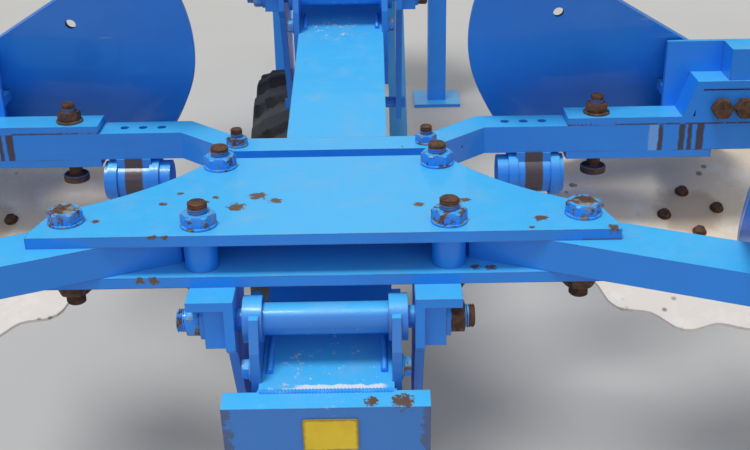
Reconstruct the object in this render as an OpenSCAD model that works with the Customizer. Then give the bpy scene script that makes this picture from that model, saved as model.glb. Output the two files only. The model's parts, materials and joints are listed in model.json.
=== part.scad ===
// Reversible mouldboard plough with variable furrow width, turned to its middle position.
// The plough travels along +Y, the pairs of bodies reach out along -X and +X.
// Z = 0 is the ground under the wheel and the parking legs.

/* [Layout] */
// Distance between two pairs along the beam
pair_spacing = 866; // [840:1:920]
// Rise of the beam towards the front, against the direction of travel
beam_angle = 9; // [7:0.5:11]
// Height of the last pair's top plate above the ground
plate_height = 1000; // [980:1:1060]
// Distance from the first pair's pivot to the front swing pivot
front_reach = 600; // [590:1:660]

/* [Beam] */
// Outer width and height of the square beam
beam_size = 140; // [130:1:144]
// Wall of the beam
beam_wall = 10; // [8:1:14]
// Distance of the beam's top below the line of pivots
beam_drop = 50; // [46:1:58]
// Distance of the rear end plate behind the last pivot
tail_length = 85; // [80:1:110]
// Width of the rear end plate
end_plate_width = 212; // [180:1:230]
// Thickness of the rear end plate
end_plate_thick = 25; // [16:1:30]

/* [Pivots] */
// Outer diameter of the pivot tubes
tube_d = 34; // [32:1:36]
// Diameter of the pivot bolts
pivot_d = 24; // [20:1:26]
// Running clearance of a pin in its bore, on the radius
run_gap = 0.05; // [0.03:0.01:0.1]
// Diameter of the collars on the beam's ears
collar_d = 50; // [46:1:54]
// Thickness of the beam's ears
ear_thick = 10; // [8:1:11]

/* [Pockets] */
// Width of the top plate
plate_width = 604; // [580:1:640]
// Thickness of the top and the lower plate
plate_thick = 12; // [10:1:14]
// Gap between the plates, which is the legs' thickness
leg_thick = 35; // [32:1:38]
// Length of the top plate
plate_length = 214; // [208:1:222]
// Diameter of the main bolts
bolt_d = 20; // [18:1:22]
// Distance of the steering pin ahead of the pivot
steer_ahead = 120; // [110:1:130]
// Distance of the steering pin below the pivot
steer_below = 230; // [224:1:240]
// Diameter of the steering pins
steer_pin_d = 20; // [18:1:24]

/* [Legs] */
// Width of a leg
leg_width = 70; // [64:1:76]
// Angle of a leg against the straight outward direction
leg_angle = 24; // [22:0.5:26]
// Radius of a leg's bend at its middle
leg_bend_r = 300; // [280:5:340]

/* [Bodies] */
// Distance from the middle to the share plane
body_reach = 800; // [780:1:830]
// Distance of the landside plane below the top plate
land_drop = 80; // [76:1:90]
// Thickness of a mouldboard
board_thick = 9; // [7:1:11]
// Width that a mouldboard reaches towards the furrow
board_width = 560; // [500:5:600]
// Thickness of the landside
landside_thick = 12; // [10:1:14]
// Length of the landside behind the leg
landside_length = 330; // [280:5:380]

/* [Skimmers] */
// Distance from the middle to the skimmers' share edge
skim_reach = 590; // [580:1:600]
// Width that a skimmer reaches towards the furrow
skim_width = 310; // [290:1:330]
// Thickness of a skimmer's board
skim_thick = 7; // [6:1:9]
// Width of the yoke's bar
yoke_width = 44; // [40:1:48]
// Reach of the yoke's arms from the middle
arm_reach = 540; // [530:1:552]
// Width and height of a skimmer's stem
stem_size = 40; // [36:1:42]

/* [Disc coulters] */
// Diameter of a disc
disc_d = 404; // [390:2:420]
// Thickness of a disc
disc_thick = 5; // [4:0.5:6]
// Number of notches round a disc
notch_count = 14; // [12:1:16]
// Tilt of the disc, rear edge down
disc_tilt = 24; // [20:1:26]

/* [Wheel] */
// Outer diameter of the tyre
tyre_d = 760; // [740:2:780]
// Width of the tyre
tyre_width = 264; // [240:2:280]
// Diameter of the rim
rim_d = 390; // [380:2:400]
// Depth of the tread blocks
lug_depth = 16; // [12:1:20]
// Number of tread blocks round each shoulder
lug_count = 24; // [20:1:28]
// Distance of the wheel's middle to the left
wheel_left = 70; // [66:1:76]
// Place of the axle ahead of the last pair
wheel_ahead = 1300; // [1290:1:1330]
// Diameter of the wheel's axle
axle_d = 50; // [45:1:55]

/* [Headstock] */
// Diameter of the turnover axle
turn_axle_d = 110; // [100:1:120]
// Length of the turnover bearing
bearing_length = 300; // [280:1:340]
// Wall of the turnover bearing
bearing_wall = 28; // [24:1:34]
// Distance of the link pins below the turnover axle
hitch_drop = 430; // [410:1:450]
// Distance between the shoulders of the two link pins
hitch_spread = 965; // [940:1:980]
// Diameter of the link pins
hitch_pin_d = 36.5; // [36.5:0.1:36.5]
// Length of a link pin outside its shoulder
hitch_pin_length = 72; // [65:1:80]
// Height of the top link hole above the turnover axle
mast_rise = 330; // [320:1:350]
// Diameter of the top link hole
mast_hole_d = 32.2; // [32:0.1:33]
// Width of the slot for the top link
mast_gap = 80; // [76:1:90]
// Outer width of a parking leg's square tube
park_size = 70; // [60:1:76]
// Distance of a parking leg from the middle
park_side = 300; // [290:1:320]

/* [Hidden] */
$fn = 48;
pair_count = 4;

blue = "dodgerblue";
rust = "sienna";

// Clearance between seated pieces of one body
seat = 0.3;
// Pivot of a pocket, seen from the rear edge and the upper face of its top plate
pivot_y = -3;
pivot_z = -95;
step_y = pair_spacing * cos(beam_angle);
step_z = pair_spacing * sin(beam_angle);
front_s = (pair_count - 1) * pair_spacing + front_reach;
swing_y = pivot_y + front_s * cos(beam_angle);
swing_z = pivot_z + front_s * sin(beam_angle);

// Headstock places along Y, from the swing pivot
fork_depth = 150;
flange_thick = 30;
bearing_y = swing_y + fork_depth + flange_thick + 12;
ground_z = -plate_height;

beam_half = beam_size / 2;
collar_in = beam_half - 5;
collar_out = beam_half + 15;
bracket_in = collar_out + 7;
bracket_thick = 10;
bracket_out = bracket_in + bracket_thick;
lower_top = -plate_thick - leg_thick;
lower_bottom = lower_top - plate_thick;
spacer_d = 35;
inner_bolt = [129, 27];
outer_bolt = [269, 40];
palm_bolt = [125, 188];
yoke_bolt = [117, 290];
yoke_front = 312;
arm_y = 360;
clamp_bolt = 340;

function mirrored(points) =
    concat(points, [for (i = [len(points) - 1 : -1 : 0]) [-points[i][0], points[i][1]]]);

// Moves from the last pair to pair 1 (front) ... pair_count (last)
module at_pair(pair) {
    back = pair_count - pair;
    translate([0, back * step_y, back * step_z]) children();
}

// Puts a piece drawn along the beam's own line (Y along it, Z = 0 on the pivots) in its place
module along_beam() {
    translate([0, pivot_y, pivot_z]) rotate([beam_angle, 0, 0]) children();
}

module both_sides() {
    children();
    mirror([1, 0, 0]) children();
}

module placed() {
    translate([0, -middle_y, plate_height]) children();
}

module bar_x(d, from, to) {
    translate([from, 0, 0]) rotate([0, 90, 0]) cylinder(d = d, h = to - from);
}

module slab(points, bottom, thick) {
    translate([0, 0, bottom]) linear_extrude(thick) polygon(points);
}

module hex_nut(d, height) {
    cylinder(d = 1.85 * d, h = height, $fn = 6);
}

// Pockets

top_outline = [
    [plate_width / 2, 0], [plate_width / 2, 15], [plate_width / 2 - 13, 64],
    [135, plate_length - 1], [133, plate_length]
];
lower_outline = [
    [plate_width / 2 - 5, 0], [plate_width / 2 - 5, 15], [plate_width / 2 - 17, 64],
    [150, 200], [134, yoke_front - 3], [130, yoke_front + 3]
];

// Hollowed flank between the wing and the neck of a plate
module flank(radius, wing, neck, bottom) {
    chord = norm(neck - wing);
    along = (neck - wing) / chord;
    out = [-along[1], along[0]] * (along[0] < 0 ? -1 : 1);
    rise = sqrt(radius * radius - chord * chord / 4);
    centre = (wing + neck) / 2 + out * rise;
    translate([centre[0], centre[1], bottom - 1]) cylinder(r = radius, h = plate_thick + 2, $fn = 96);
}

module pocket_plates() {
    difference() {
        slab(mirrored(top_outline), -plate_thick, plate_thick);
        both_sides()
            flank(330, [plate_width / 2 - 13, 64], [135, plate_length - 1], -plate_thick);
    }
    difference() {
        slab(mirrored(lower_outline), lower_bottom, plate_thick);
        both_sides() flank(320, [plate_width / 2 - 17, 64], [150, 200], lower_bottom);
    }
}

// A bolt through both plates, head or nut on top
module pocket_bolt(place, d, top, bottom) {
    translate([place[0], place[1], 0]) {
        translate([0, 0, lower_bottom - bottom]) cylinder(d = d, h = top + bottom - lower_bottom);
        hex_nut(d, 0.62 * d);
        translate([0, 0, lower_bottom - 0.62 * d]) hex_nut(d, 0.62 * d);
    }
}

// Bent bracket under the lower plate, with the lever that the steering rod holds
module pocket_bracket() {
    lever_y = pivot_y + steer_ahead;
    lever_z = pivot_z - steer_below;
    edge = 28;
    side = [
        [-34, lower_bottom], [-34, pivot_z - 20], [-14, pivot_z - 36], [lever_y - edge, lever_z - 4],
        [lever_y - 16, lever_z - edge], [lever_y + 16, lever_z - edge],
        [lever_y + edge, lever_z], [60, pivot_z - 10], [80, lower_bottom]
    ];
    difference() {
        translate([bracket_in, 0, 0]) rotate([90, 0, 90]) linear_extrude(bracket_thick) polygon(side);
        translate([0, lever_y, lever_z]) bar_x(steer_pin_d, bracket_in - 1, bracket_out + 1);
    }
    translate([bracket_in, -34, lower_bottom - bracket_thick]) cube([48, 114, bracket_thick]);
    // Square bearing block round the pivot bolt
    translate([bracket_out, pivot_y - 22, pivot_z - 22]) cube([22, 44, 45]);
}

module pivot_bolt() {
    end = bracket_out + 22;
    translate([0, pivot_y, pivot_z]) {
        bar_x(pivot_d, -end - 24, end + 24);
        for (side = [0, 180]) rotate([0, 0, side]) {
            bar_x(1.7 * pivot_d, end, end + 5);
            translate([end + 5, 0, 0]) rotate([0, 90, 0]) hex_nut(bolt_d, 14);
        }
    }
}

module pocket() {
    color(blue) {
        pocket_plates();
        both_sides() {
            pocket_bracket();
            translate([inner_bolt[0], inner_bolt[1], lower_top]) cylinder(d = spacer_d, h = leg_thick);
        }
        pivot_bolt();
        translate([0, pivot_y + steer_ahead, pivot_z - steer_below])
            bar_x(steer_pin_d, -bracket_out - 8, bracket_out + 8);
    }
    color(rust) both_sides() {
        pocket_bolt(outer_bolt, bolt_d, 6, 14);
        pocket_bolt(inner_bolt, bolt_d, 20, 14);
        pocket_bolt(palm_bolt, bolt_d, 20, 14);
    }
    color(blue) both_sides() translate([yoke_bolt[0], yoke_bolt[1], 0]) {
        translate([0, 0, lower_bottom - 10]) cylinder(d = 14, h = 14 - lower_bottom);
        translate([0, 0, -plate_thick]) hex_nut(14, 9);
        translate([0, 0, lower_bottom - 9]) hex_nut(14, 9);
    }
}

// Legs

// Directions along and across a leg, and the end of its straight part
leg_along = [cos(leg_angle), -sin(leg_angle)];
leg_across = [sin(leg_angle), cos(leg_angle)];
leg_start = [157, 71];
leg_straight = 310;
leg_turn = leg_start + leg_along * leg_straight;
leg_centre = leg_turn + leg_across * leg_bend_r;
leg_end_angle = 28;
leg_out = [cos(leg_end_angle), sin(leg_end_angle)];
leg_end = leg_centre + leg_bend_r * [sin(leg_end_angle), -cos(leg_end_angle)];

module leg() {
    near = leg_start - leg_across * leg_width / 2;
    far = leg_start + leg_across * leg_width / 2;
    palm = [
        near + leg_along * 9, leg_turn - leg_across * leg_width / 2 + leg_along * 2,
        leg_turn + leg_across * leg_width / 2 + leg_along * 2, far + leg_along * 66,
        [160, 160], [148, 206], [103, 206], [103, 150]
    ];
    color(blue) difference() {
        translate([0, 0, lower_top]) linear_extrude(leg_thick) {
            polygon(palm);
            intersection() {
                translate(leg_centre) difference() {
                    circle(r = leg_bend_r + leg_width / 2, $fn = 96);
                    circle(r = leg_bend_r - leg_width / 2, $fn = 96);
                }
                polygon([leg_centre, leg_centre - leg_across * 500, leg_centre - leg_across * 500 + leg_along * 300,
                    leg_centre + 500 * [sin(leg_end_angle), -cos(leg_end_angle)]]);
            }
        }
        for (place = [outer_bolt, palm_bolt])
            translate([place[0], place[1], lower_top - 1]) cylinder(d = bolt_d + 1, h = leg_thick + 2);
    }
}

// Yoke that carries the skimmers and the disc coulters

module yoke() {
    half = yoke_width / 2;
    outline = [
        [119, 290 - half], [194, arm_y - half], [arm_reach, arm_y - half],
        [arm_reach, arm_y + half], [186, arm_y + half], [112, 290 + half]
    ];
    color(blue) difference() {
        slab(mirrored(outline), lower_top, leg_thick);
        both_sides() {
            translate([yoke_bolt[0], yoke_bolt[1], lower_top - 1]) cylinder(d = 15, h = leg_thick + 2);
            for (place = [222, 246, 270])
                translate([place, arm_y, lower_top - 1]) cylinder(d = 11, h = leg_thick + 2);
            translate([clamp_bolt, arm_y, lower_top - 1]) cylinder(d = 17, h = leg_thick + 2);
        }
    }
}

// Curved boards

// Columns: reach, width, share-side height, start and amount of its rise, top height and its two terms,
// shin place, its slope and curve, sweep low down, sweep gained higher up, closing of the sweep, lean, fold
main_board = [body_reach, board_width, 62, 0.45, 190, 340, 300, -220, 235, 0.55, 0.0006, 1.15, 0.3, 0.0006, 0.16, 0];
skim_board = [skim_reach, skim_width, 50, 0.36, 315, 340, 255, -215, 490, 0.05, 0, 0.5, 0, 0, 0, 0.009];

// Ahead of the pocket's rear edge at a height above the share plane and a width from the landside
function ahead(b, high, wide) =
    let (corner = ((high - 274) * 85 - (wide - 40) * 137) / 161)
    b[8] - b[9] * high + b[10] * high * high
    - (b[11] + b[12] * min(1, high / 340)) * wide + b[13] * wide * wide
    - b[15] * pow(max(0, corner), 2);

// A point of the working face: along from shin to tail, up from the share to the top edge, both 0 ... 1
function board_point(b, along, up) =
    let (
        low = b[2] + b[4] * max(0, along - b[3]) / (1 - b[3]),
        top = b[5] + b[6] * along + b[7] * along * along,
        high = low + (top - low) * up,
        wide = b[1] * along * (b[15] > 0 ? 1 : 0.82 + 0.40 * up - 0.27 * up * up),
        lean = 1 + b[14] * (high - 240) / 240
    )
    [b[0] - high, ahead(b, high, wide), wide * lean - land_drop];

function unit(v) = v / norm(v);

function board_normal(b, along, up) =
    let (
        d = 0.01,
        a = board_point(b, along + d, up) - board_point(b, along - d, up),
        c = board_point(b, along, up + d) - board_point(b, along, up - d)
    )
    unit(cross(c, a));

// Skin between the working face and a face set back from it, over part of the board
function skin_points(b, alongs, ups, front, back) = [
    for (depth = [front, back]) for (a = alongs) for (u = ups)
        board_point(b, a, u) - board_normal(b, a, u) * depth
];

// Closed solid from two equal grids of rows and columns, the second behind the first
module grid_solid(points, rows, columns) {
    n = rows * columns;
    front = [for (i = [0 : rows - 2]) for (j = [0 : columns - 2]) let (k = i * columns + j)
        each [[k, k + columns + 1, k + 1], [k, k + columns, k + columns + 1]]];
    back = [for (f = front) [f[0] + n, f[2] + n, f[1] + n]];
    rim = concat(
        [for (i = [0 : rows - 1]) i * columns],
        [for (j = [1 : columns - 1]) (rows - 1) * columns + j],
        [for (i = [rows - 2 : -1 : 0]) i * columns + columns - 1],
        [for (j = [columns - 2 : -1 : 1]) j]
    );
    wall = [for (i = [0 : len(rim) - 1]) let (p = rim[i], q = rim[(i + 1) % len(rim)])
        each [[p, q + n, q], [p, p + n, q + n]]];
    polyhedron(points, concat(front, back, wall));
}

function steps(from, to, count) = [for (i = [0 : count]) from + (to - from) * i / count];

module board(b, thick, rows, columns) {
    alongs = steps(0, 1, rows);
    ups = steps(0, 1, columns);
    grid_solid(skin_points(b, alongs, ups, 0, thick), rows + 1, columns + 1);
}

module mouldboards() {
    color(blue) both_sides() board(main_board, board_thick, 12, 6);
}

module skimmers() {
    color(blue) both_sides() board(skim_board, skim_thick, 10, 8);
}

// Ahead of the rear face of a board at a given height, for a plate in the plane z
function behind_board(b, thick, high, z) =
    let (lean = 1 + b[14] * (high - 240) / 240)
    ahead(b, high, (z + land_drop) / lean) - thick * (b[15] > 0 ? 1.35 : 1.95) - seat;

// Share blade from its point to its wing, under the board's lower edge
module share() {
    blade = [for (i = [0 : 6]) let (wide = 60 * i + (i == 0 ? 0 : 10)) [wide, i]];
    edge = [for (w = blade) [body_reach - 2 - w[0] * 0.02, 318 - 1.06 * w[0], w[0] - land_drop]];
    top = [for (w = blade) [body_reach - main_board[2] + 2, ahead(main_board, main_board[2], w[0]) + 1, w[0] - land_drop]];
    set_back = [10, -11, 0];
    points = concat(
        [for (i = [0 : 6]) each [edge[i], top[i]]],
        [for (i = [0 : 6]) each [edge[i] + set_back, top[i] + set_back]]
    );
    grid_solid(points, 7, 2);
}

// Frog: two cheeks that hold the leg, the landside and its foot
module frog() {
    low = 40;
    high = 250;
    heel = [leg_end[0] - 150, leg_end[1] - 62];
    for (z = [lower_top - plate_thick, -plate_thick]) {
        front_z = z == -plate_thick ? 0 : z + plate_thick;
        slab(concat(
            [for (h = [low : 35 : high]) [body_reach - h, behind_board(main_board, board_thick, h, front_z)]],
            [heel + [0, 60], heel, [leg_end[0] + 20, leg_end[1] - 50], [body_reach - low, leg_end[1] - 10]]
        ), z, plate_thick);
    }
    translate([0, 0, lower_top])
        linear_extrude(leg_thick)
            polygon([[body_reach - low, leg_end[1] + 60], [body_reach - low, 60], [body_reach - 200, 46],
                [body_reach - 170, leg_end[1] + 70]]);
    foot_z = landside_thick - land_drop;
    translate([body_reach - 120, leg_end[1] - 20, foot_z]) cube([70, 110, lower_bottom - foot_z]);
    slab([[body_reach - 8, -landside_length], [body_reach - 8, behind_board(main_board, board_thick, 8, foot_z)],
        [body_reach - 130, behind_board(main_board, board_thick, 130, foot_z)],
        [body_reach - 130, -landside_length + 40], [body_reach - 100, -landside_length]],
        -land_drop, landside_thick);
}

module frogs() {
    color(blue) both_sides() {
        frog();
    }
    color("dimgray") both_sides() share();
}

// Clamp, bracket and stem of a skimmer
module stem() {
    half = yoke_width / 2;
    clamp = [300, arm_reach - 53];
    clamp_thick = 10;
    rise = 44;
    face = arm_y + half;
    stem_back = face - stem_size;
    stem_in = 502;
    stem_out = skim_reach + 5;
    for (z = [-plate_thick, lower_top - clamp_thick])
        translate([clamp[0], arm_y - half, z]) cube([clamp[1] - clamp[0], yoke_width, clamp_thick]);
    // Bent strap that rises from the clamp to the stem
    translate([0, arm_y - half, 0]) rotate([90, 0, 0]) mirror([0, 0, 1]) linear_extrude(yoke_width)
        polygon([[430, -plate_thick], [446, -plate_thick + 10], [462, rise], [stem_out - 30, rise],
            [stem_out - 30, rise - 10], [470, rise - 10], [456, -plate_thick]]);
    // Web under the strap, with its two bolts
    translate([462, arm_y - half, -plate_thick]) cube([90, 12, rise]);
    for (place = [494, 523]) translate([place, arm_y - half + 2, 10]) rotate([90, 0, 0]) hex_nut(14, 12);
    translate([stem_in, stem_back, rise]) cube([stem_out - stem_in, stem_size, stem_size]);
    // Eye bolt through the clamp
    translate([clamp_bolt, arm_y, lower_top - clamp_thick - 26]) cylinder(d = 16, h = 100);
    translate([clamp_bolt, arm_y, lower_top - clamp_thick - 26]) cylinder(d = 32, h = 9);
    // Back plate and cheeks up to the skimmer's board
    translate([430, face, -60]) cube([stem_out - 430, 8, rise + stem_size + 60]);
    for (z = [-50, 10])
        slab(concat(
            [for (h = [55 : 35 : 160]) [skim_reach - h, behind_board(skim_board, skim_thick, h, z + 12)]],
            [[430, face + 6], [skim_reach - 55, face + 6]]
        ), z, 12);
}

module stems() {
    color(blue) both_sides() stem();
}

// Disc coulters of the last pair

disc_place = [482, 384, -157];
carrier_y = 350;
carrier_z = -80;
hub_axle_d = 30;
// Depth of the notches in a disc's edge
notch_depth = 14;

module disc_carrier() {
    hub_drop = 70;
    arm_z = carrier_z - 148;
    translate([0, carrier_y, carrier_z]) {
        bar_x(50, 212, 297);
        bar_x(58, 226, 238);
        bar_x(58, 280, 292);
    }
    translate([236, carrier_y - 14, carrier_z]) cube([44, 28, lower_top - carrier_z]);
    // Cranked arm under the disc
    translate([244, carrier_y - 18, arm_z]) cube([20, 36, carrier_z - arm_z]);
    translate([244, carrier_y - 18, arm_z]) cube([disc_place[0] - 220, 36, 14]);
    translate(disc_place) rotate([disc_tilt, 0, 0])
        translate([0, 0, -hub_drop]) cylinder(d = hub_axle_d, h = hub_drop - 5);
    translate([disc_place[0] - 24, carrier_y - 18, arm_z]) cube([48, 114, 14]);
}

module disc_carriers() {
    color(blue) both_sides() disc_carrier();
}

// Edge of a disc at an angle, with rounded teeth
function edge_point(angle) =
    (disc_d / 2 - notch_depth * (1 - cos(notch_count * angle)) / 2) * [cos(angle), sin(angle)];

// A flat disc whose hub lies under it
module disc() {
    edge_steps = 8 * notch_count;
    translate(disc_place) rotate([disc_tilt, 0, 0]) color("wheat") difference() {
        union() {
            translate([0, 0, -disc_thick / 2]) linear_extrude(disc_thick)
                polygon([for (i = [0 : edge_steps - 1]) edge_point(360 * i / edge_steps)]);
            translate([0, 0, -30]) cylinder(d = 96, h = 30);
        }
        translate([0, 0, -34]) cylinder(d = hub_axle_d + 2 * run_gap, h = 30);
    }
}

// Beam

front_pin_d = 50;
front_tube_d = 78;
fork_in = 84;
wheel_pivot_s = 1960;
wheel_pivot_drop = 320;
cylinder_side = 150;
lug_back = 420;
lug_s = front_s - lug_back;
lug_drop = 120;

module ears(s, d, out, drop, thick) {
    both_sides() translate([beam_half - 2, s, 0]) rotate([90, 0, 90]) linear_extrude(thick)
        polygon([[-0.8 * d, -0.3 * d], [-0.5 * d, 0.35 * d], [0.5 * d, 0.35 * d], [0.8 * d, -0.3 * d],
            [1.1 * d, -drop], [-1.1 * d, -drop]]);
}

module beam_body() {
    length = front_s + 40 + tail_length - end_plate_thick;
    difference() {
        translate([-beam_half, -tail_length + end_plate_thick, -beam_drop - beam_size])
            cube([beam_size, length, beam_size]);
        translate([-beam_half + beam_wall, -tail_length + end_plate_thick + 1, -beam_drop - beam_size + beam_wall])
            cube([beam_size - 2 * beam_wall, length + 1, beam_size - 2 * beam_wall]);
    }
    translate([0, -tail_length + end_plate_thick, 0]) rotate([90, 0, 0]) linear_extrude(end_plate_thick)
        polygon(mirrored([[end_plate_width / 2, -beam_drop + 2], [end_plate_width / 2, -beam_drop - beam_size - 40]]));
    for (i = [0 : pair_count - 1]) {
        ears(i * pair_spacing, collar_d, collar_out, 140, ear_thick);
        translate([0, i * pair_spacing, 0]) {
            bar_x(tube_d, -collar_out, collar_out);
            both_sides() bar_x(collar_d, collar_in, collar_out);
        }
    }
    ears(front_s, front_tube_d, 80, 170, ear_thick + 3);
    translate([0, front_s, 0]) bar_x(front_tube_d, -fork_in + seat, fork_in - seat);
    // Lug for the width cylinder
    for (x = [-cylinder_side - 34, -cylinder_side + 20])
        translate([x, lug_s - 40, -lug_drop - 34]) cube([14, 80, 68]);
    translate([-cylinder_side - 34, lug_s - 40, -lug_drop - 46]) cube([cylinder_side + 34 - beam_half, 80, 12]);
    // Bracket for the wheel arm
    both_sides() translate([beam_half - 2, wheel_pivot_s - 60, -wheel_pivot_drop - 40])
        cube([14, 120, wheel_pivot_drop + 40 - beam_drop - 20]);
}

module beam() {
    color(blue) along_beam() difference() {
        beam_body();
        for (i = [0 : pair_count - 1]) translate([0, i * pair_spacing, 0])
            bar_x(pivot_d + 2 * run_gap, -collar_out - 1, collar_out + 1);
        translate([0, front_s, 0]) bar_x(front_pin_d + 2 * run_gap, -fork_in, fork_in);
        translate([0, wheel_pivot_s, -wheel_pivot_drop]) bar_x(40 + 2 * run_gap, -100, 100);
    }
}

// Steering rod under the beam

module steering_rod() {
    ring = 46;
    color(blue) translate([0, steer_ahead, -steer_below]) translate([0, pivot_y, pivot_z])
        rotate([beam_angle, 0, 0]) difference() {
            union() {
                translate([-9, 0, -15]) cube([18, front_s, 30]);
                for (i = [0 : pair_count - 1]) translate([0, i * pair_spacing, 0]) bar_x(ring, -18, 18);
                translate([0, front_s, 0]) bar_x(ring, -18, 18);
            }
            for (i = [0 : pair_count - 1]) translate([0, i * pair_spacing, 0])
                bar_x(steer_pin_d + 2 * run_gap, -20, 20);
            translate([0, front_s, 0]) bar_x(steer_pin_d + 2 * run_gap, -20, 20);
        }
}

// Turning frame with its axle

module turning_frame() {
    fork_thick = 26;
    steer_y = steer_ahead;
    steer_z = -steer_below;
    plate_y = fork_depth;
    color(blue) translate([0, swing_y, swing_z]) {
        difference() {
            both_sides() translate([fork_in, 0, 0]) rotate([90, 0, 90]) linear_extrude(fork_thick)
                polygon([[-55, -45], [-55, 45], [-20, 70], [plate_y, 120], [plate_y, -150],
                    [30, -80]]);
            bar_x(front_pin_d, -200, 200);
        }
        bar_x(front_pin_d, -fork_in - fork_thick - 14, fork_in + fork_thick + 14);
        // Front plate of the fork and the flange before the bearing
        translate([-fork_in - fork_thick, plate_y, -270]) cube([2 * (fork_in + fork_thick), flange_thick, 420]);
        translate([0, plate_y + flange_thick, 0]) rotate([-90, 0, 0]) {
            cylinder(d = turn_axle_d + 60, h = 12 - seat);
            cylinder(d = turn_axle_d, h = 12 + bearing_length + 38);
            translate([0, 0, 12 + bearing_length + seat]) cylinder(d = turn_axle_d + 40, h = 30);
        }
        // Ears for the steering rod
        both_sides() translate([24, steer_y - 30, steer_z - 30]) cube([16, fork_depth - steer_y + 30 + 5, 60]);
        translate([0, steer_y, steer_z]) bar_x(steer_pin_d, -48, 48);
        // Ears for the width cylinder
        for (x = [-cylinder_side - 34, -cylinder_side + 20])
            translate([x, 14, -159]) cube([14, plate_y - 10, 68]);
        translate([0, 40, -125]) bar_x(24, -cylinder_side - 44, -cylinder_side + 44);
        translate([-cylinder_side - 34, plate_y - 10, -159]) cube([cylinder_side - 60, 24, 68]);
        // Crank ears of the turnover cylinder, ahead of the bearing
        translate([0, crank_y, 0]) rotate([-90, 0, 0]) crank();
    }
}

crank_r = 150;
crank_y = fork_depth + flange_thick + 12 + bearing_length + 1;

crank_ear = 14;
// Place of the far ear
crank_width = 50;

// Crank on the front end of the turnover axle, its two ears around the rod's eye
module crank() {
    for (z = [0, crank_width]) translate([0, 0, z]) linear_extrude(crank_ear)
        polygon([[-60, 0], [-30, -crank_r - 26], [30, -crank_r - 26], [60, 0]]);
    cylinder(d = turn_axle_d - 10, h = crank_width + crank_ear);
    for (z = [-6, crank_width]) translate([0, -crank_r, z]) cylinder(d = 28, h = crank_ear + 6);
}

// Width cylinder on the left of the beam, opened at its rod's eye
width_base = [40, -125];
width_eye_y = -lug_back * cos(beam_angle) + lug_drop * sin(beam_angle);
width_eye_z = -lug_back * sin(beam_angle) - lug_drop * cos(beam_angle);
width_vec = [width_eye_y - width_base[0], width_eye_z - width_base[1]];
width_len = norm(width_vec);
width_tilt = atan2(-width_vec[1], -width_vec[0]);

module along_width() {
    translate([-cylinder_side, swing_y + width_base[0], swing_z + width_base[1]])
        rotate([width_tilt, 0, 0]) children();
}

module width_cylinder() {
    color("royalblue") along_width() {
        difference() {
            union() {
                bar_x(52, -19, 19);
                translate([0, -44, 0]) rotate([90, 0, 0]) cylinder(d = 66, h = 270);
                translate([0, -14, 0]) rotate([90, 0, 0]) cylinder(d = 36, h = 32);
            }
            bar_x(24 + 2 * run_gap, -20, 20);
            translate([0, -60, 0]) rotate([90, 0, 0]) cylinder(d = 32 + 2 * seat, h = 280);
        }
    }
}

module width_rod() {
    color("silver") along_width() {
        translate([0, -120, 0]) rotate([90, 0, 0]) cylinder(d = 32, h = width_len - 120);
        translate([0, -width_len, 0]) bar_x(48, -18, 18);
    }
}

// Wheel

wheel_y = wheel_ahead;
axle_z = ground_z + tyre_d / 2;
arm_x = 88;

module wheel_arm() {
    pivot = [pivot_y + wheel_pivot_s * cos(beam_angle) + wheel_pivot_drop * sin(beam_angle),
        pivot_z + wheel_pivot_s * sin(beam_angle) - wheel_pivot_drop * cos(beam_angle)];
    reach = pivot - [wheel_y, axle_z];
    tilt = atan2(reach[1], reach[0]);
    arm_thick = 40;
    color(blue) {
        difference() {
            translate([arm_x, wheel_y, axle_z]) rotate([tilt, 0, 0])
                translate([0, -50, -45]) cube([arm_thick, norm(reach) + 95, 90]);
            translate([0, pivot[0], pivot[1]]) bar_x(40, 0, 200);
        }
        translate([0, pivot[0], pivot[1]]) bar_x(40, -95, arm_x + arm_thick + 12);
        translate([-wheel_left, wheel_y, axle_z])
            bar_x(axle_d, -tyre_width / 2 + 30, arm_x + wheel_left + arm_thick);
    }
}

module wheel_rim() {
    half = 108;
    color("gainsboro") translate([-wheel_left, wheel_y, axle_z]) rotate([0, 90, 0]) difference() {
        union() {
            rotate_extrude($fn = 96) polygon([
                [rim_d / 2 - 14, -half], [rim_d / 2 + 12, -half], [rim_d / 2 + 12, -half + 8],
                [rim_d / 2 - 4, -half + 20], [rim_d / 2 - 4, half - 20], [rim_d / 2 + 12, half - 8],
                [rim_d / 2 + 12, half], [rim_d / 2 - 14, half]
            ]);
            translate([0, 0, -6]) cylinder(d = rim_d - 20, h = 14);
            translate([0, 0, -70]) cylinder(d = 110, h = 150);
        }
        translate([0, 0, -120]) cylinder(d = axle_d + 2 * run_gap, h = 300);
    }
}

module wheel_tyre() {
    half = tyre_width / 2;
    carcass = tyre_d / 2 - lug_depth;
    bead = rim_d / 2 - 4 + seat;
    color([0.12, 0.12, 0.13]) translate([-wheel_left, wheel_y, axle_z]) rotate([0, 90, 0]) {
        rotate_extrude($fn = 96) polygon([
            [bead, -86], [rim_d / 2 + 12, -86], [rim_d / 2 + 46, -half + 10], [tyre_d / 2 - 90, -half],
            [carcass - 34, -half + 8], [carcass - 6, -half + 44], [carcass, -20], [carcass, 20],
            [carcass - 6, half - 44], [carcass - 34, half - 8], [tyre_d / 2 - 90, half],
            [rim_d / 2 + 46, half - 10], [rim_d / 2 + 12, 86], [bead, 86]
        ]);
        intersection() {
            cylinder(d = tyre_d, h = tyre_width, center = true, $fn = 96);
            for (side = [-1, 1]) for (i = [0 : lug_count - 1])
                rotate([0, 0, 360 * (i + (side > 0 ? 0.5 : 0)) / lug_count])
                    translate([carcass - 12, -20, side > 0 ? 4 : -half + 30]) rotate([side * 24, 0, 0])
                        cube([lug_depth + 15, 38, half - 34]);
        }
    }
}

// Headstock

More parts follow.
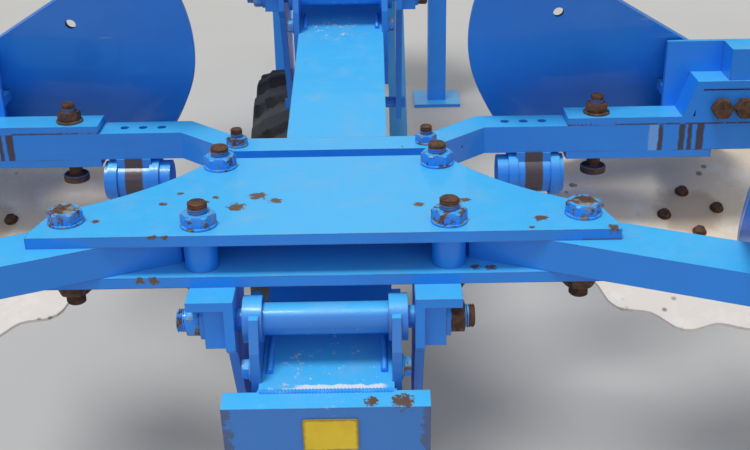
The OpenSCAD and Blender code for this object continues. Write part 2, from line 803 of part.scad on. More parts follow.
tower_near = bearing_y + 20;
tower_far = bearing_y + bearing_length - 60;
tower_thick = 25;
cross_y = (tower_near + tower_far + tower_thick) / 2;
cross_z = swing_z - hitch_drop;
cross_size = 110;
mast_y = tower_far + 90;
mast_end = 40;
sleeve_wall = 10;
sleeve_gap = 0.3;
park_y = cross_y - cross_size / 2 - park_size / 2 - sleeve_wall;

module headstock() {
    outer = turn_axle_d + 2 * bearing_wall;
    color(blue) difference() {
        union() {
            translate([0, bearing_y, swing_z]) rotate([-90, 0, 0]) cylinder(d = outer, h = bearing_length, $fn = 96);
            for (y = [tower_near, tower_far]) translate([0, y + tower_thick, swing_z]) rotate([90, 0, 0])
                linear_extrude(tower_thick) polygon(mirrored([
                    [70, mast_rise - 40], [115, 60], [150, -80], [260, -hitch_drop + 60], [260, -hitch_drop - 56]
                ]));
            // Cross tube between and beyond the tower plates
            translate([-park_side - 70, cross_y - cross_size / 2, cross_z - cross_size / 2])
                cube([2 * (park_side + 70), cross_size, cross_size]);
            // Arm and pin that hold the turnover cylinder
            translate([0, tower_far + tower_thick, swing_z]) rotate([90, 0, 0]) linear_extrude(tower_thick)
                polygon([[-60, 250], [turn_base_x - 35, crank_r + 35], [turn_base_x - 35, crank_r - 35],
                    [-100, 60]]);
            translate([turn_base_x, tower_far + 5, swing_z + crank_r]) rotate([-90, 0, 0])
                cylinder(d = turn_pin_d, h = rod_y + 30 - tower_far);
            // Ears of the top link
            both_sides() translate([mast_gap / 2, tower_near, swing_z + mast_rise - 90])
                cube([20, mast_y - tower_near + mast_end, 130]);
            // Sleeves of the parking legs
            both_sides() translate([park_side - park_size / 2 - sleeve_wall, park_y - park_size / 2 - sleeve_wall, cross_z - 110])
                cube([park_size + 2 * sleeve_wall, park_size + 2 * sleeve_wall, 200]);
        }
        translate([0, bearing_y - 1, swing_z]) rotate([-90, 0, 0])
            cylinder(d = turn_axle_d + 2 * run_gap, h = bearing_length + 2, $fn = 96);
        translate([0, mast_y, swing_z + mast_rise]) bar_x(mast_hole_d, -100, 100);
        both_sides() translate([park_side - park_size / 2 - sleeve_gap, park_y - park_size / 2 - sleeve_gap, cross_z - 120])
            cube([park_size + 2 * sleeve_gap, park_size + 2 * sleeve_gap, 220]);
        translate([0, cross_y, cross_z]) bar_x(60 + 2 * run_gap, -500, 500);
    }
}

module cross_shaft() {
    shoulder = hitch_spread / 2;
    color("dimgray") translate([0, cross_y, cross_z]) {
        bar_x(60, -shoulder + 10, shoulder - 10);
        both_sides() {
            bar_x(90, shoulder - 14, shoulder);
            bar_x(hitch_pin_d, shoulder, shoulder + hitch_pin_length);
        }
    }
}

module parking_leg() {
    top = cross_z + 190;
    color(blue) {
        translate([park_side - park_size / 2, park_y - park_size / 2, ground_z + 10])
            cube([park_size, park_size, top - ground_z]);
        translate([park_side - 90, park_y - 90, ground_z]) cube([180, 180, 12]);
    }
}

module parking_leg_right() {
    parking_leg();
}

module parking_leg_left() {
    mirror([1, 0, 0]) parking_leg();
}

turn_base_x = -560;
turn_pin_d = 30;
rod_y = swing_y + crank_y + (crank_width + crank_ear) / 2;

module turnover_cylinder() {
    color("royalblue") translate([0, rod_y, swing_z + crank_r]) difference() {
        union() {
            bar_x(70, turn_base_x + 20, -250);
            translate([turn_base_x, 16, 0]) rotate([90, 0, 0]) cylinder(d = 54, h = 32);
        }
        translate([turn_base_x, 20, 0]) rotate([90, 0, 0]) cylinder(d = turn_pin_d + 2 * run_gap, h = 40);
        bar_x(34 + 2 * seat, turn_base_x + 60, -240);
    }
}

module turnover_rod() {
    color("silver") translate([0, rod_y, swing_z + crank_r]) {
        bar_x(34, turn_base_x + 240, -10);
        translate([0, 17, 0]) rotate([90, 0, 0]) cylinder(d = 50, h = 34);
    }
}

module disc_right() {
    disc();
}

module disc_left() {
    mirror([1, 0, 0]) disc();
}

module legs() {
    both_sides() leg();
}

// The origin lies under the middle of the whole length
front_y = max(mast_y + mast_end, swing_y + crank_y + crank_width + crank_ear + 6);
tail_y = min([for (up = steps(0, 1, 6))
    (board_point(main_board, 1, up) - board_normal(main_board, 1, up) * board_thick)[1]]);
middle_y = (front_y + tail_y) / 2;

placed() {
    headstock();
    cross_shaft();
    parking_leg_left();
    parking_leg_right();
    turnover_cylinder();
    turnover_rod();
    turning_frame();
    width_cylinder();
    width_rod();
    beam();
    steering_rod();
    wheel_arm();
    wheel_rim();
    wheel_tyre();
    disc_carriers();
    disc_left();
    disc_right();
    for (pair = [1 : pair_count]) at_pair(pair) {
        pocket();
        legs();
        yoke();
        mouldboards();
        frogs();
        stems();
        skimmers();
    }
}
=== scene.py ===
"""Dresses a parked reversible plough: boards, tyre, fasteners, weld beads, sign, finishes and a stage.

The frame supplies every node and joint; pieces made here ride on its bodies. Lengths of the pieces are
millimetres, from the rear edge and upper face of a pair's top plate or from its pivot along the beam.
Lengths in the finishes are metres.
"""

import json
import math
from collections import namedtuple

import bmesh
import bpy
import numpy as np
from mathutils import Euler, Matrix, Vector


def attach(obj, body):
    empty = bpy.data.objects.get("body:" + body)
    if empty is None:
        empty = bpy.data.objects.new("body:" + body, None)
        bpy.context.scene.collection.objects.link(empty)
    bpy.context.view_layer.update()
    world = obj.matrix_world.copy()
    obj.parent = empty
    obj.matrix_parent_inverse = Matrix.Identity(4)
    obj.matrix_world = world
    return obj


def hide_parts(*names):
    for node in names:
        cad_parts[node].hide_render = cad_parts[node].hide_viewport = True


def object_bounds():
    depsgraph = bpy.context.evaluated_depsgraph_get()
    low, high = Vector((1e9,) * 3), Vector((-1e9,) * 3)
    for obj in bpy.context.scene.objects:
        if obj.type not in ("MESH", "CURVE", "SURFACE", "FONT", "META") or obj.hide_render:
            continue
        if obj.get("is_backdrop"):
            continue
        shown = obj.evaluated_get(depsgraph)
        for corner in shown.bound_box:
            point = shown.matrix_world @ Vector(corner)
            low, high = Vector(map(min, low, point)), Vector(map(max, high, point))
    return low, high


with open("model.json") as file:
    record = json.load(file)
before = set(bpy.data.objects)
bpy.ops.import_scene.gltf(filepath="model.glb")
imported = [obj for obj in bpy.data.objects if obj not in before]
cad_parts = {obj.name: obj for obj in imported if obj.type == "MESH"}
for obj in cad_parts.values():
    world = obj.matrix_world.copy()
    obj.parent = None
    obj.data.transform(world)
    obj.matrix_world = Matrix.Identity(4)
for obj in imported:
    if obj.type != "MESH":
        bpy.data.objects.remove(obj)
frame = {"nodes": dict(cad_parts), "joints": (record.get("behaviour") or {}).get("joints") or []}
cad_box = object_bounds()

bl_info = {
    "name": "Reversible plough finishes",
    "version": (1, 0, 0),
    "blender": (4, 5, 0),
    "location": "View3D > Sidebar > Plough",
    "description": "Dresses a reversible plough: boards, tyre, fasteners, sign, paint, rust and a stage",
    "category": "Object",
}

PAIRS = (1, 2, 3, 4)
LAST = PAIRS[-1]
SIDES = (-1, 1)
JOINTS = {joint["name"]: joint for joint in frame["joints"]}
# From a pocket's pivot to the rear edge and upper face of its top plate
PIVOT_TO_PLATE = np.array([0.0, 3.0, 95.0])


def joint_place(name):
    """Place of a joint in millimetres."""
    return np.array(JOINTS[name]["pos_m"]) * 1000.0


def pivot(pair):
    """Pivot of a pair on the beam, in millimetres."""
    return joint_place(f"pair_{pair}_swing")


def pair_origin(pair):
    """Rear edge and upper face of a pair's top plate, in millimetres."""
    return pivot(pair) + PIVOT_TO_PLATE


PAIR_SPACING = pivot(3) - pivot(4)
BEAM_RISE = math.atan2(PAIR_SPACING[2], PAIR_SPACING[1])


def on_beam(points, pair=LAST):
    """From places across, along and above the beam's line through the pivots to the frame, in millimetres."""
    x, along, above = np.moveaxis(np.asarray(points, float), -1, 0)
    c, s = math.cos(BEAM_RISE), math.sin(BEAM_RISE)
    return pivot(pair) + np.stack([x, along * c - above * s, along * s + above * c], axis=-1)


# Settings


def colour_setting(name, description, default):
    """A setting for a colour."""
    return bpy.props.FloatVectorProperty(
        name=name, description=description, subtype="COLOR", size=3, min=0, max=1, default=default,
    )


def turn_setting(name, description, degrees):
    """A setting for an angle."""
    return bpy.props.FloatProperty(
        name=name, description=description, subtype="ANGLE", default=math.radians(degrees),
    )


class PaintSettings(bpy.types.PropertyGroup):
    """Colours and wear of the finishes."""

    blue: colour_setting("Frame blue", "Paint of beam, plates and legs", (0.014, 0.27, 0.93))
    # Painted highlight: the paler, more cyan blue given to faces that look up, in place of sky light on the
    # tops
    highlight_blue: colour_setting("Highlight blue", "Paint of the faces that look up", (0.07, 0.53, 0.95))
    board_blue: colour_setting("Board blue", "Deeper paint on the backs of the boards", (0.012, 0.235, 0.82))
    rust: colour_setting("Rust", "Rust on bolts and bare edges", (0.13, 0.058, 0.03))
    steel: colour_setting("Worn steel", "Shares, landsides and working faces", (0.23, 0.20, 0.18))
    cream: colour_setting("Disc cream", "Paint of the notched discs", (0.90, 0.76, 0.57))
    sign: colour_setting("Sign yellow", "Blank sign on the beam's end", (0.93, 0.66, 0.03))
    wear: bpy.props.FloatProperty(
        name="Edge wear", description="How far bare and rusty edges reach", subtype="FACTOR", min=0, max=1,
        default=0.5,
    )
    dust: bpy.props.FloatProperty(
        name="Dust", description="Pale dust on faces that look up", subtype="FACTOR", min=0, max=1,
        default=0.22,
    )


class BoardSettings(bpy.types.PropertyGroup):
    """Sizes of the rolled boards."""

    main_thick: bpy.props.FloatProperty(
        name="Mouldboard thickness", description="Thickness of a mouldboard in millimetres", min=6, max=12,
        default=9,
    )
    skim_thick: bpy.props.FloatProperty(
        name="Skimmer thickness", description="Thickness of a skimmer's board in millimetres", min=5, max=9,
        default=7,
    )
    rows: bpy.props.IntProperty(
        name="Rows", description="Faces along a board, from shin to tail", min=12, max=90, default=54,
    )
    columns: bpy.props.IntProperty(
        name="Columns", description="Faces up a board, from share to top edge", min=8, max=60, default=32,
    )


class WheelSettings(bpy.types.PropertyGroup):
    """Sizes of the tyre."""

    outer: bpy.props.FloatProperty(
        name="Tyre radius", description="Outer radius of the tread in millimetres", min=300, max=420,
        default=379.6,
    )
    lug_depth: bpy.props.FloatProperty(
        name="Lug depth", description="Depth of the tread blocks in millimetres", min=8, max=24, default=16,
    )
    lugs: bpy.props.IntProperty(
        name="Lugs", description="Tread blocks round each shoulder", min=16, max=32, default=24,
    )


class StageSettings(bpy.types.PropertyGroup):
    """Camera and floor."""

    camera: bpy.props.FloatVectorProperty(
        name="Camera place", description="Place of the camera from the last pair's top plate",
        subtype="TRANSLATION", unit="LENGTH", size=3, default=(0.055, -1.060, 0.496),
    )
    pitch: turn_setting("Pitch", "How far the camera looks down", 24.68)
    yaw: turn_setting("Yaw", "How far the camera looks to the left", 0.127)
    roll: turn_setting("Roll", "Turn of the camera about its view", -1.015)
    lens: bpy.props.FloatProperty(
        name="Lens", description="Focal length in millimetres on a sensor of 36", min=20, max=120,
        default=55.7,
    )
    floor: colour_setting("Floor", "Colour of the floor", (0.54, 0.53, 0.51))


# Shader maths


class Field:
    """A socket that adds Math nodes when it is used in an expression."""

    def __init__(self, shop, socket):
        self.shop = shop
        self.socket = socket

    def _math(self, operation, *values):
        return self.shop.node("ShaderNodeMath", {"operation": operation}, dict(enumerate(values)))

    def __add__(self, other):
        return self._math("ADD", self, other)

    def __radd__(self, other):
        return self._math("ADD", other, self)

    def __sub__(self, other):
        return self._math("SUBTRACT", self, other)

    def __rsub__(self, other):
        return self._math("SUBTRACT", other, self)

    def __mul__(self, other):
        return self._math("MULTIPLY", self, other)

    def __rmul__(self, other):
        return self._math("MULTIPLY", other, self)

    def __pow__(self, other):
        return self._math("POWER", self, other)

    def __abs__(self):
        return self._math("ABSOLUTE", self)

    def most(self, other):
        """The larger of two values."""
        return self._math("MAXIMUM", self, other)

    def rise(self, low, high):
        """Smooth step from 0 at low to 1 at high."""
        inputs = {"Value": self, "From Min": low, "From Max": high}
        return self.shop.node("ShaderNodeMapRange", {"interpolation_type": "SMOOTHSTEP"}, inputs)

    def fall(self, low, high):
        """Smooth step from 1 at low to 0 at high."""
        return 1 - self.rise(low, high)


class Finish:
    """The node tree of one finish."""

    def __init__(self, name):
        self.material = bpy.data.materials.new(name)
        self.material.use_nodes = True
        self.tree = self.material.node_tree
        self.tree.nodes.clear()
        self.place = self.node("ShaderNodeTexCoord", output="Object")
        self.axes = {}

    def node(self, kind, settings=None, inputs=None, output=0):
        """Adds a node: its settings first, then values or links on its sockets. Returns one output."""
        node = self.tree.nodes.new(kind)
        for key, value in (settings or {}).items():
            setattr(node, key, value)
        for key, value in (inputs or {}).items():
            if isinstance(value, Field):
                self.tree.links.new(value.socket, node.inputs[key])
            elif node.inputs[key].type == "RGBA":
                node.inputs[key].default_value = (*value, 1.0)
            else:
                node.inputs[key].default_value = value
        return Field(self, node.outputs[output])

    def vector(self, operation, first, second, output="Vector"):
        """Vector maths on two vectors."""
        return self.node("ShaderNodeVectorMath", {"operation": operation}, {0: first, 1: second}, output)

    def part(self, vector, letter):
        """One coordinate of a vector."""
        return self.node("ShaderNodeSeparateXYZ", None, {0: vector}, letter)

    def axis(self, letter):
        """One coordinate of the place, in metres."""
        if letter not in self.axes:
            self.axes[letter] = self.part(self.place, letter)
        return self.axes[letter]

    def facing(self):
        """The way that the surface looks."""
        return self.node("ShaderNodeNewGeometry", None, None, "Normal")

    def upward(self):
        """Towards 1 where the surface looks up."""
        return self.part(self.facing(), "Z")

    def edges(self, radius):
        """Above 0 where the surface bends within a radius in metres."""
        round_off = self.node("ShaderNodeBevel", {"samples": 4}, {"Radius": radius})
        return 1 - self.vector("DOT_PRODUCT", round_off, self.facing(), "Value")

    def away(self, centre):
        """Distance from a point, in metres."""
        return self.vector("DISTANCE", self.place, tuple(centre), "Value")

    def near(self, centre, low, high):
        """1 within a distance low of a point, 0 beyond high, both in metres."""
        return self.away(centre).fall(low, high)

    def noise(self, scale, detail=3.0, roughness=0.55, stretch=(1, 1, 1), shift=(0, 0, 0)):
        """Cloudy noise of a number of blobs per metre."""
        inputs = {"Vector": self.place, "Location": shift, "Scale": stretch}
        where = self.node("ShaderNodeMapping", None, inputs)
        inputs = {"Vector": where, "Scale": scale, "Detail": detail, "Roughness": roughness}
        return self.node("ShaderNodeTexNoise", None, inputs)

    def flakes(self, scale, shift=(0, 0, 0)):
        """Distance from the nearest of scattered points, for chips and pits."""
        where = self.node("ShaderNodeMapping", None, {"Vector": self.place, "Location": shift})
        return self.node("ShaderNodeTexVoronoi", None, {"Vector": where, "Scale": scale})

    def mix(self, amount, first, second):
        """First colour where amount is 0, second where it is 1."""
        return self.node("ShaderNodeMix", {"data_type": "RGBA"}, {0: amount, 6: first, 7: second}, 2)

    def attribute(self, name):
        """A number kept on the piece's own points."""
        return self.node("ShaderNodeAttribute", {"attribute_name": name}, None, "Fac")

    def close(self, colour, roughness, height, depth, **sockets):
        """Ends the tree in a Principled shader with a bump of a height and depth; returns the material."""
        inputs = {"Base Color": colour, "Roughness": roughness}
        inputs.update({key.replace("_", " "): value for key, value in sockets.items()})
        bump = {"Strength": 1.0, "Distance": depth, "Height": height}
        inputs["Normal"] = self.node("ShaderNodeBump", None, bump)
        shader = self.node("ShaderNodeBsdfPrincipled", None, inputs)
        end = self.tree.nodes.new("ShaderNodeOutputMaterial")
        self.tree.links.new(shader.socket, end.inputs["Surface"])
        return self.material


FINISHES = {}


def finish(name, maker, *values):
    """The material of that name, made on its first use."""
    if name not in FINISHES:
        FINISHES[name] = maker(name, *values)
    return FINISHES[name]


def settings():
    """The paint settings of the scene."""
    return bpy.context.scene.plough_paint


def shade(colour, factor):
    """A colour times a factor."""
    return tuple(factor * c for c in colour)


def band(value, low, high, soft=0.0012):
    """1 between two values, with soft ends."""
    return value.rise(low - soft, low + soft) * value.fall(high - soft, high + soft)


# Tones of dirt and wear
GREY_SMEAR = (0.20, 0.24, 0.28)
PALE_DUST = (0.40, 0.45, 0.48)
DRIED_SOIL = (0.62, 0.66, 0.70)
WHITE_SOIL = (0.80, 0.84, 0.88)
CHIPPED = (0.13, 0.075, 0.042)
WING_RUST = (0.14, 0.08, 0.045)
END_RUST = (0.09, 0.045, 0.028)
END_GRIME = (0.06, 0.19, 0.52)
BEAM_FILM = (0.30, 0.36, 0.42)
RUBBED_BLUE = (0.30, 0.52, 0.86)
SEAM_RUST = (0.035, 0.02, 0.018)
BARREL_BAND = (0.07, 0.035, 0.022)
ARM_PAINTED_SHADE = (0.012, 0.06, 0.20)
BOARD_FILM = (0.06, 0.20, 0.45)
BOARD_SCRATCH = (0.24, 0.36, 0.56)
BOARD_BRIGHT = (0.34, 0.31, 0.29)
SHARE_BRIGHT = (0.33, 0.30, 0.28)
NUT_FILM = (0.12, 0.2, 0.34)
NUT_GREY = (0.27, 0.27, 0.23)
NUT_DULL = (0.09, 0.085, 0.08)
DISC_SUNNED = (0.80, 0.74, 0.66)
DISC_CLOUD = (0.93, 0.88, 0.79)
DISC_STAIN = (0.34, 0.22, 0.14)
DISC_SPOT = (0.13, 0.085, 0.06)
DISC_RIM = (0.30, 0.21, 0.13)
ROD_BRIGHT = (0.72, 0.73, 0.75)
ROD_FILM = (0.34, 0.31, 0.27)
RIM_GREY = (0.40, 0.41, 0.43)
RIM_PALE = (0.55, 0.56, 0.58)
RIM_BROWN = (0.24, 0.20, 0.16)
RUBBER_BLACK = (0.022, 0.026, 0.032)
RUBBER_DUST = (0.12, 0.115, 0.105)
SIGN_GRIME = (0.20, 0.11, 0.04)
SIGN_RUN = (0.30, 0.18, 0.04)


def rust_colour(shop, scale=60):
    """Brown that wanders between dark scale and orange bloom."""
    base = tuple(settings().rust)
    bloom = (2.1 * base[0], 1.9 * base[1], 1.4 * base[2])
    first = shop.mix(shop.noise(scale, 4).rise(0.35, 0.65), shade(base, 0.42), base)
    return shop.mix(shop.noise(scale * 2.3, 3, shift=(3, 1, 2)).rise(0.56, 0.74) * 0.7, first, bloom)


def painted(name, blue, marks=None, wear=1.0):
    """Paint with small variation, a painted highlight (a paler, more cyan blue) on faces that look up, rust
    that eats in from the edges, dust on top, and marks of its own.
    """
    shop = Finish(name)
    paint = settings()
    pale = tuple(min(1.0, c * 1.12 + 0.01) for c in blue)
    colour = shop.mix(shop.noise(2.6, 3).rise(0.3, 0.7), shade(blue, 0.82), blue)
    colour = shop.mix(shop.noise(9, 5, shift=(7, 3, 1)).rise(0.55, 0.8) * 0.3, colour, pale)
    # Painted highlight: faces that look up turn a paler, more cyan blue, in place of sky light on the tops
    colour = shop.mix(shop.upward().rise(0.45, 0.95) * 0.92, colour, tuple(paint.highlight_blue))
    smear = shop.noise(14, 5, 0.7, (0.25, 1, 1), (1, 9, 4)).rise(0.60, 0.78)
    colour = shop.mix(smear * 0.10, colour, GREY_SMEAR)
    dust = shop.upward().rise(0.35, 0.95) * shop.noise(22, 6, 0.72).rise(0.46, 0.76) * paint.dust
    colour = shop.mix(dust, colour, PALE_DUST)
    ragged = shop.noise(70, 5, 0.7, shift=(2, 5, 8))
    stretch = shop.noise(6, 2, 0.5, shift=(1, 7, 3)).rise(0.40, 0.62)
    edge = shop.edges(0.0032) * (0.35 + 0.65 * stretch)
    bare = (edge * 2.6 + ragged - 1.24 + 0.30 * paint.wear * wear).rise(0.0, 0.10)
    patches = shop.noise(5, 2, shift=(5, 5, 5)).rise(0.62, 0.68)
    bare = bare.most(shop.flakes(34, (4, 4, 4)).fall(0.04, 0.07) * patches * wear)
    if marks:
        for amount, tone in marks(shop):
            colour = shop.mix(amount, colour, tone)
    colour = shop.mix(bare, colour, rust_colour(shop))
    grain = shop.noise(420, 2, 0.5) * 0.25 - bare * 0.6 + ragged * bare * 0.8
    rough = 0.34 + bare * 0.42 + dust * 0.5 + shop.noise(30, 3).rise(0.4, 0.7) * 0.12
    return shop.close(colour, rough, grain, 0.0006, Coat_Weight=(1 - bare) * 0.22)


def dried_soil(shop, centre, reach, strength, scale):
    """Chalky flecks of dried soil, thinner away from a point."""
    patch = shop.near(centre, reach * 0.3, reach) * 0.14
    coarse = shop.noise(24, 3, 0.6, shift=(1, 6, 2)) * 0.3
    fleck = shop.noise(scale, 5, 0.75, shift=(6, 2, 6)) * 0.7 + coarse
    return (patch + fleck).rise(0.70, 0.73) * strength, DRIED_SOIL


def chip(shop, centre, size, seed=0):
    """A flake of lost paint with a ragged outline about a point."""
    ragged = shop.noise(1.3 / size, 6, 0.8, shift=(1, 1, seed)) - 0.5
    spot = shop.near(centre, 0.0, size * 2.2)
    return (spot + ragged * 3.0).rise(0.50, 0.56) * spot.rise(0.0, 0.25), CHIPPED


# Chips in the paint: place across and ahead from the top plate's rear edge, and size, in metres
TOP_CHIPS = (
    (-0.094, 0.071, 0.009), (-0.074, 0.100, 0.009), (-0.054, 0.086, 0.006), (-0.120, 0.098, 0.0035),
    (-0.128, 0.086, 0.003), (-0.160, 0.110, 0.0035), (-0.175, 0.082, 0.004), (-0.238, 0.040, 0.004),
    (0.140, 0.080, 0.007), (0.100, 0.070, 0.005), (0.224, 0.030, 0.006), (0.294, 0.004, 0.006),
    (0.150, 0.080, 0.005), (0.212, 0.008, 0.003), (-0.172, -0.001, 0.004), (-0.160, -0.001, 0.0035),
)
LOWER_CHIPS = ((-0.190, 0.0, 0.004), (-0.176, 0.0, 0.0045), (0.156, 0.014, 0.0055), (0.172, 0.012, 0.006))
LOWER_CHIPS_LEVEL = -0.05


def pocket_marks(pair):
    """Chips on the top plate and on the lower plate's rear edge, and a rusty wing."""

    def marks(shop):
        origin = pair_origin(pair) / 1000
        for chips, level in ((TOP_CHIPS, 0), (LOWER_CHIPS, LOWER_CHIPS_LEVEL)):
            for x, y, size in chips:
                yield chip(shop, origin + np.array([x, y, level]), size, pair)
        top = float(origin[2])
        rim = shop.near(origin + np.array([0.285, 0, -0.012]), 0.02, 0.03)
        wing = band(shop.axis("X"), 0.262, 0.303) * rim
        yield wing * shop.axis("Z").fall(top - 0.011, top - 0.009) * 0.9, WING_RUST

    return marks


def beam_marks(shop):
    """Flecks of soil on the beam's top next to the pivots, a white line of soil at its end, and rust, grime
    and two chips on its end plate."""
    for pair in PAIRS:
        yield dried_soil(shop, on_beam([0, -20, -50], pair) / 1000, 0.10, 0.9, 110)
    along = shop.vector("SUBTRACT", shop.place, tuple(on_beam([0, -51, -50]) / 1000))
    behind = shop.part(along, "Y") + (shop.noise(60, 4, 0.7) - 0.5) * 0.012
    across = abs(shop.axis("X"))
    line = band(behind, -0.0045, 0.0030, 0.0008) * across.fall(0.055, 0.065)
    yield line * shop.noise(18, 3, 0.6, shift=(5, 1, 1)).rise(0.34, 0.42) * 0.95, WHITE_SOIL
    end = shop.near(pair_origin(LAST) / 1000 + np.array([0, -0.11, -0.2]), 0.13, 0.2)
    rim = end * across.rise(0.076, 0.106)
    ragged = shop.noise(46, 6, 0.8, shift=(9, 1, 3))
    upright = 1 - shop.upward().rise(0.5, 0.8)
    yield (rim * 0.60 + ragged * 1.2 - 0.95).rise(0.12, 0.16) * upright, END_RUST
    yield end * upright * 0.55, END_GRIME
    for place, size in ((46, 0.006), (78.5, 0.009)):
        yield chip(shop, on_beam([place, -76, -48]) / 1000, size)
    yield shop.noise(4, 3, shift=(3, 3, 3)).rise(0.62, 0.8) * 0.12, BEAM_FILM


def yoke_marks(shop):
    """Rust that ran down the rear faces of the yoke's arms where the clamp sits."""
    rear = shop.part(shop.facing(), "Y").fall(-0.95, -0.8)
    across = shop.axis("X") + (shop.noise(90, 3, 0.6, shift=(2, 8, 1)) - 0.5) * 0.004
    runs = band(across, 0.417, 0.423)
    for low, high in ((0.443, 0.451), (0.4545, 0.460), (0.4656, 0.475), (-0.429, -0.424), (-0.419, -0.410)):
        runs = runs.most(band(across, low, high))
    yield rear * band(across, 0.405, 0.417) * 0.5, RUBBED_BLUE
    yield rear * runs * shop.noise(40, 4, 0.6).rise(0.2, 0.4) * 0.92, shade(settings().rust, 0.35)


def clamp_marks(shop):
    """Dark rust that creeps along the seams where the clamp plates lie on the yoke's arms."""
    ragged = shop.noise(55, 5, 0.75, shift=(4, 2, 9))
    for pair in PAIRS:
        seam = float(pair_origin(pair)[2]) / 1000 - 0.012
        line = band(shop.axis("Z") + (ragged - 0.5) * 0.004, seam - 0.001, seam + 0.0022)
        yield line * ragged.rise(0.44, 0.52) * 0.9, SEAM_RUST


def carrier_marks(shop):
    """A brown band round the middle of each disc carrier's barrel, and painted shade on the arm below it: a
    dark blue low down.
    """
    top = float(pair_origin(LAST)[2]) / 1000
    barrel = shop.axis("Z").rise(top - 0.112, top - 0.108)
    yield band(abs(shop.axis("X")), 0.247, 0.270) * barrel * 0.95, BARREL_BAND
    # Painted shade: the carriers turn a dark blue below the barrels, darker towards the bottom
    yield shop.axis("Z").fall(top - 0.16, top - 0.10) * 0.6, ARM_PAINTED_SHADE


# Across and level of the round hole in a pair's left board and in its right one, in metres, and the squares
# of the radii between which the hole's rim fades
BOARD_HOLES = ((-0.325, 0.124), (0.285, 0.130))
HOLE_RIM = (0.000036, 0.000049)


def board_finish(name):
    """Deep blue with scratches and nicks on the back, worn bright and browned on the working face."""
    shop = Finish(name)
    paint = settings()
    blue = tuple(paint.board_blue)
    worked = shop.attribute("worked").rise(0.4, 0.6)
    back = shop.mix(shop.noise(3.0, 3).rise(0.3, 0.7), shade(blue, 0.80), blue)
    back = shop.mix(shop.noise(24, 6, 0.7, (1, 1, 0.3)).rise(0.58, 0.76) * 0.22, back, BOARD_FILM)
    scratch = shop.noise(14, 2, 0.5, (0.6, 9, 9), (0, 4, 0)).rise(0.69, 0.71)
    back = shop.mix(scratch * shop.noise(8, 2).rise(0.56, 0.64) * 0.6, back, BOARD_SCRATCH)
    nicks = shop.flakes(26, (1, 2, 7)).fall(0.05, 0.075) * shop.noise(7, 2, shift=(4, 1, 4)).rise(0.62, 0.66)
    back = shop.mix(nicks, back, rust_colour(shop))
    steel = shop.mix(shop.noise(7, 4, 0.6, (0.4, 1, 1)).rise(0.3, 0.7), tuple(paint.steel), BOARD_BRIGHT)
    steel = shop.mix(shop.noise(15, 5, 0.7, shift=(2, 2, 2)).rise(0.5, 0.75) * 0.7, steel, tuple(paint.rust))
    left = shop.noise(4.2, 5, 0.65, shift=(8, 1, 1)).rise(0.55, 0.62) * 0.9
    bare = (shop.edges(0.003) * 2.4 + shop.noise(60, 5, 0.7) - 1.0).rise(0.0, 0.14)
    colour = shop.mix(worked, back, shop.mix(left, steel, back))
    colour = shop.mix(bare, colour, rust_colour(shop))
    metal = worked * (1 - left) * 0.75
    across, level = shop.attribute("across"), shop.attribute("level")
    first, second = (((across - x) ** 2 + (level - z) ** 2).rise(*HOLE_RIM) for x, z in BOARD_HOLES)
    rough = 0.36 + shop.noise(26, 4).rise(0.35, 0.7) * 0.16 + bare * 0.35
    grain = shop.noise(300, 2) * 0.2 + shop.noise(12, 3) * 0.4 - bare * 0.5
    coat = (1 - bare) * (1 - metal) * 0.2
    return shop.close(colour, rough, grain, 0.0006, Metallic=metal, Coat_Weight=coat, Alpha=first * second)


def rusty(name, amount=1.0):
    """Rust with pits; a low number on a point turns it towards paint, which has a painted highlight, a paler
    blue, where it looks up.
    """
    shop = Finish(name)
    wear = shop.attribute("rusted")
    ragged = shop.noise(130, 4, 0.7)
    bare = (wear * amount + (ragged - 0.5) * 1.3).rise(0.42, 0.52)
    # Painted highlight: the paint on the nuts turns a paler blue where it looks up
    blue = shop.mix(shop.upward().rise(0.45, 0.95) * 0.7, tuple(settings().blue), tuple(settings().highlight_blue))
    blue = shop.mix(shop.noise(200, 3, 0.6, shift=(1, 1, 1)).rise(0.45, 0.7) * 0.35, blue, NUT_FILM)
    brown = rust_colour(shop, 130)
    grey = shop.mix(shop.noise(45, 3, 0.6, shift=(6, 1, 3)).rise(0.42, 0.58), brown, NUT_GREY)
    colour = shop.mix(bare, blue, shop.mix(wear.rise(0.7, 0.85), grey, brown))
    dull = shop.noise(55, 3, shift=(4, 0, 1)).rise(0.5, 0.7)
    colour = shop.mix(dull * bare * 0.5, colour, NUT_DULL)
    return shop.close(colour, 0.45 + bare * 0.35, ragged * 0.6, 0.0008, Metallic=bare * dull * 0.5)


def worn_steel(name):
    """Shares and landsides: bright wear, brown film, blue paint left further in."""
    shop = Finish(name)
    paint = settings()
    steel = shop.mix(shop.noise(9, 4).rise(0.35, 0.65), tuple(paint.steel), SHARE_BRIGHT)
    steel = shop.mix(shop.noise(24, 6, 0.7, shift=(1, 7, 2)).rise(0.44, 0.7) * 0.85, steel, tuple(paint.rust))
    bare = (abs(shop.axis("X")).rise(0.700, 0.745) + (shop.noise(20, 5, 0.7) - 0.5) * 0.7).rise(0.4, 0.6)
    edge = (shop.edges(0.004) * 2.4 + shop.noise(60, 5, 0.7) - 1.0).rise(0.0, 0.14)
    colour = shop.mix(bare, tuple(paint.blue), steel)
    colour = shop.mix(edge * (1 - bare), colour, rust_colour(shop))
    rough = 0.42 + shop.noise(40, 4).rise(0.35, 0.7) * 0.22
    return shop.close(colour, rough, shop.noise(160, 3) * 0.5, 0.0006, Metallic=bare * 0.6)


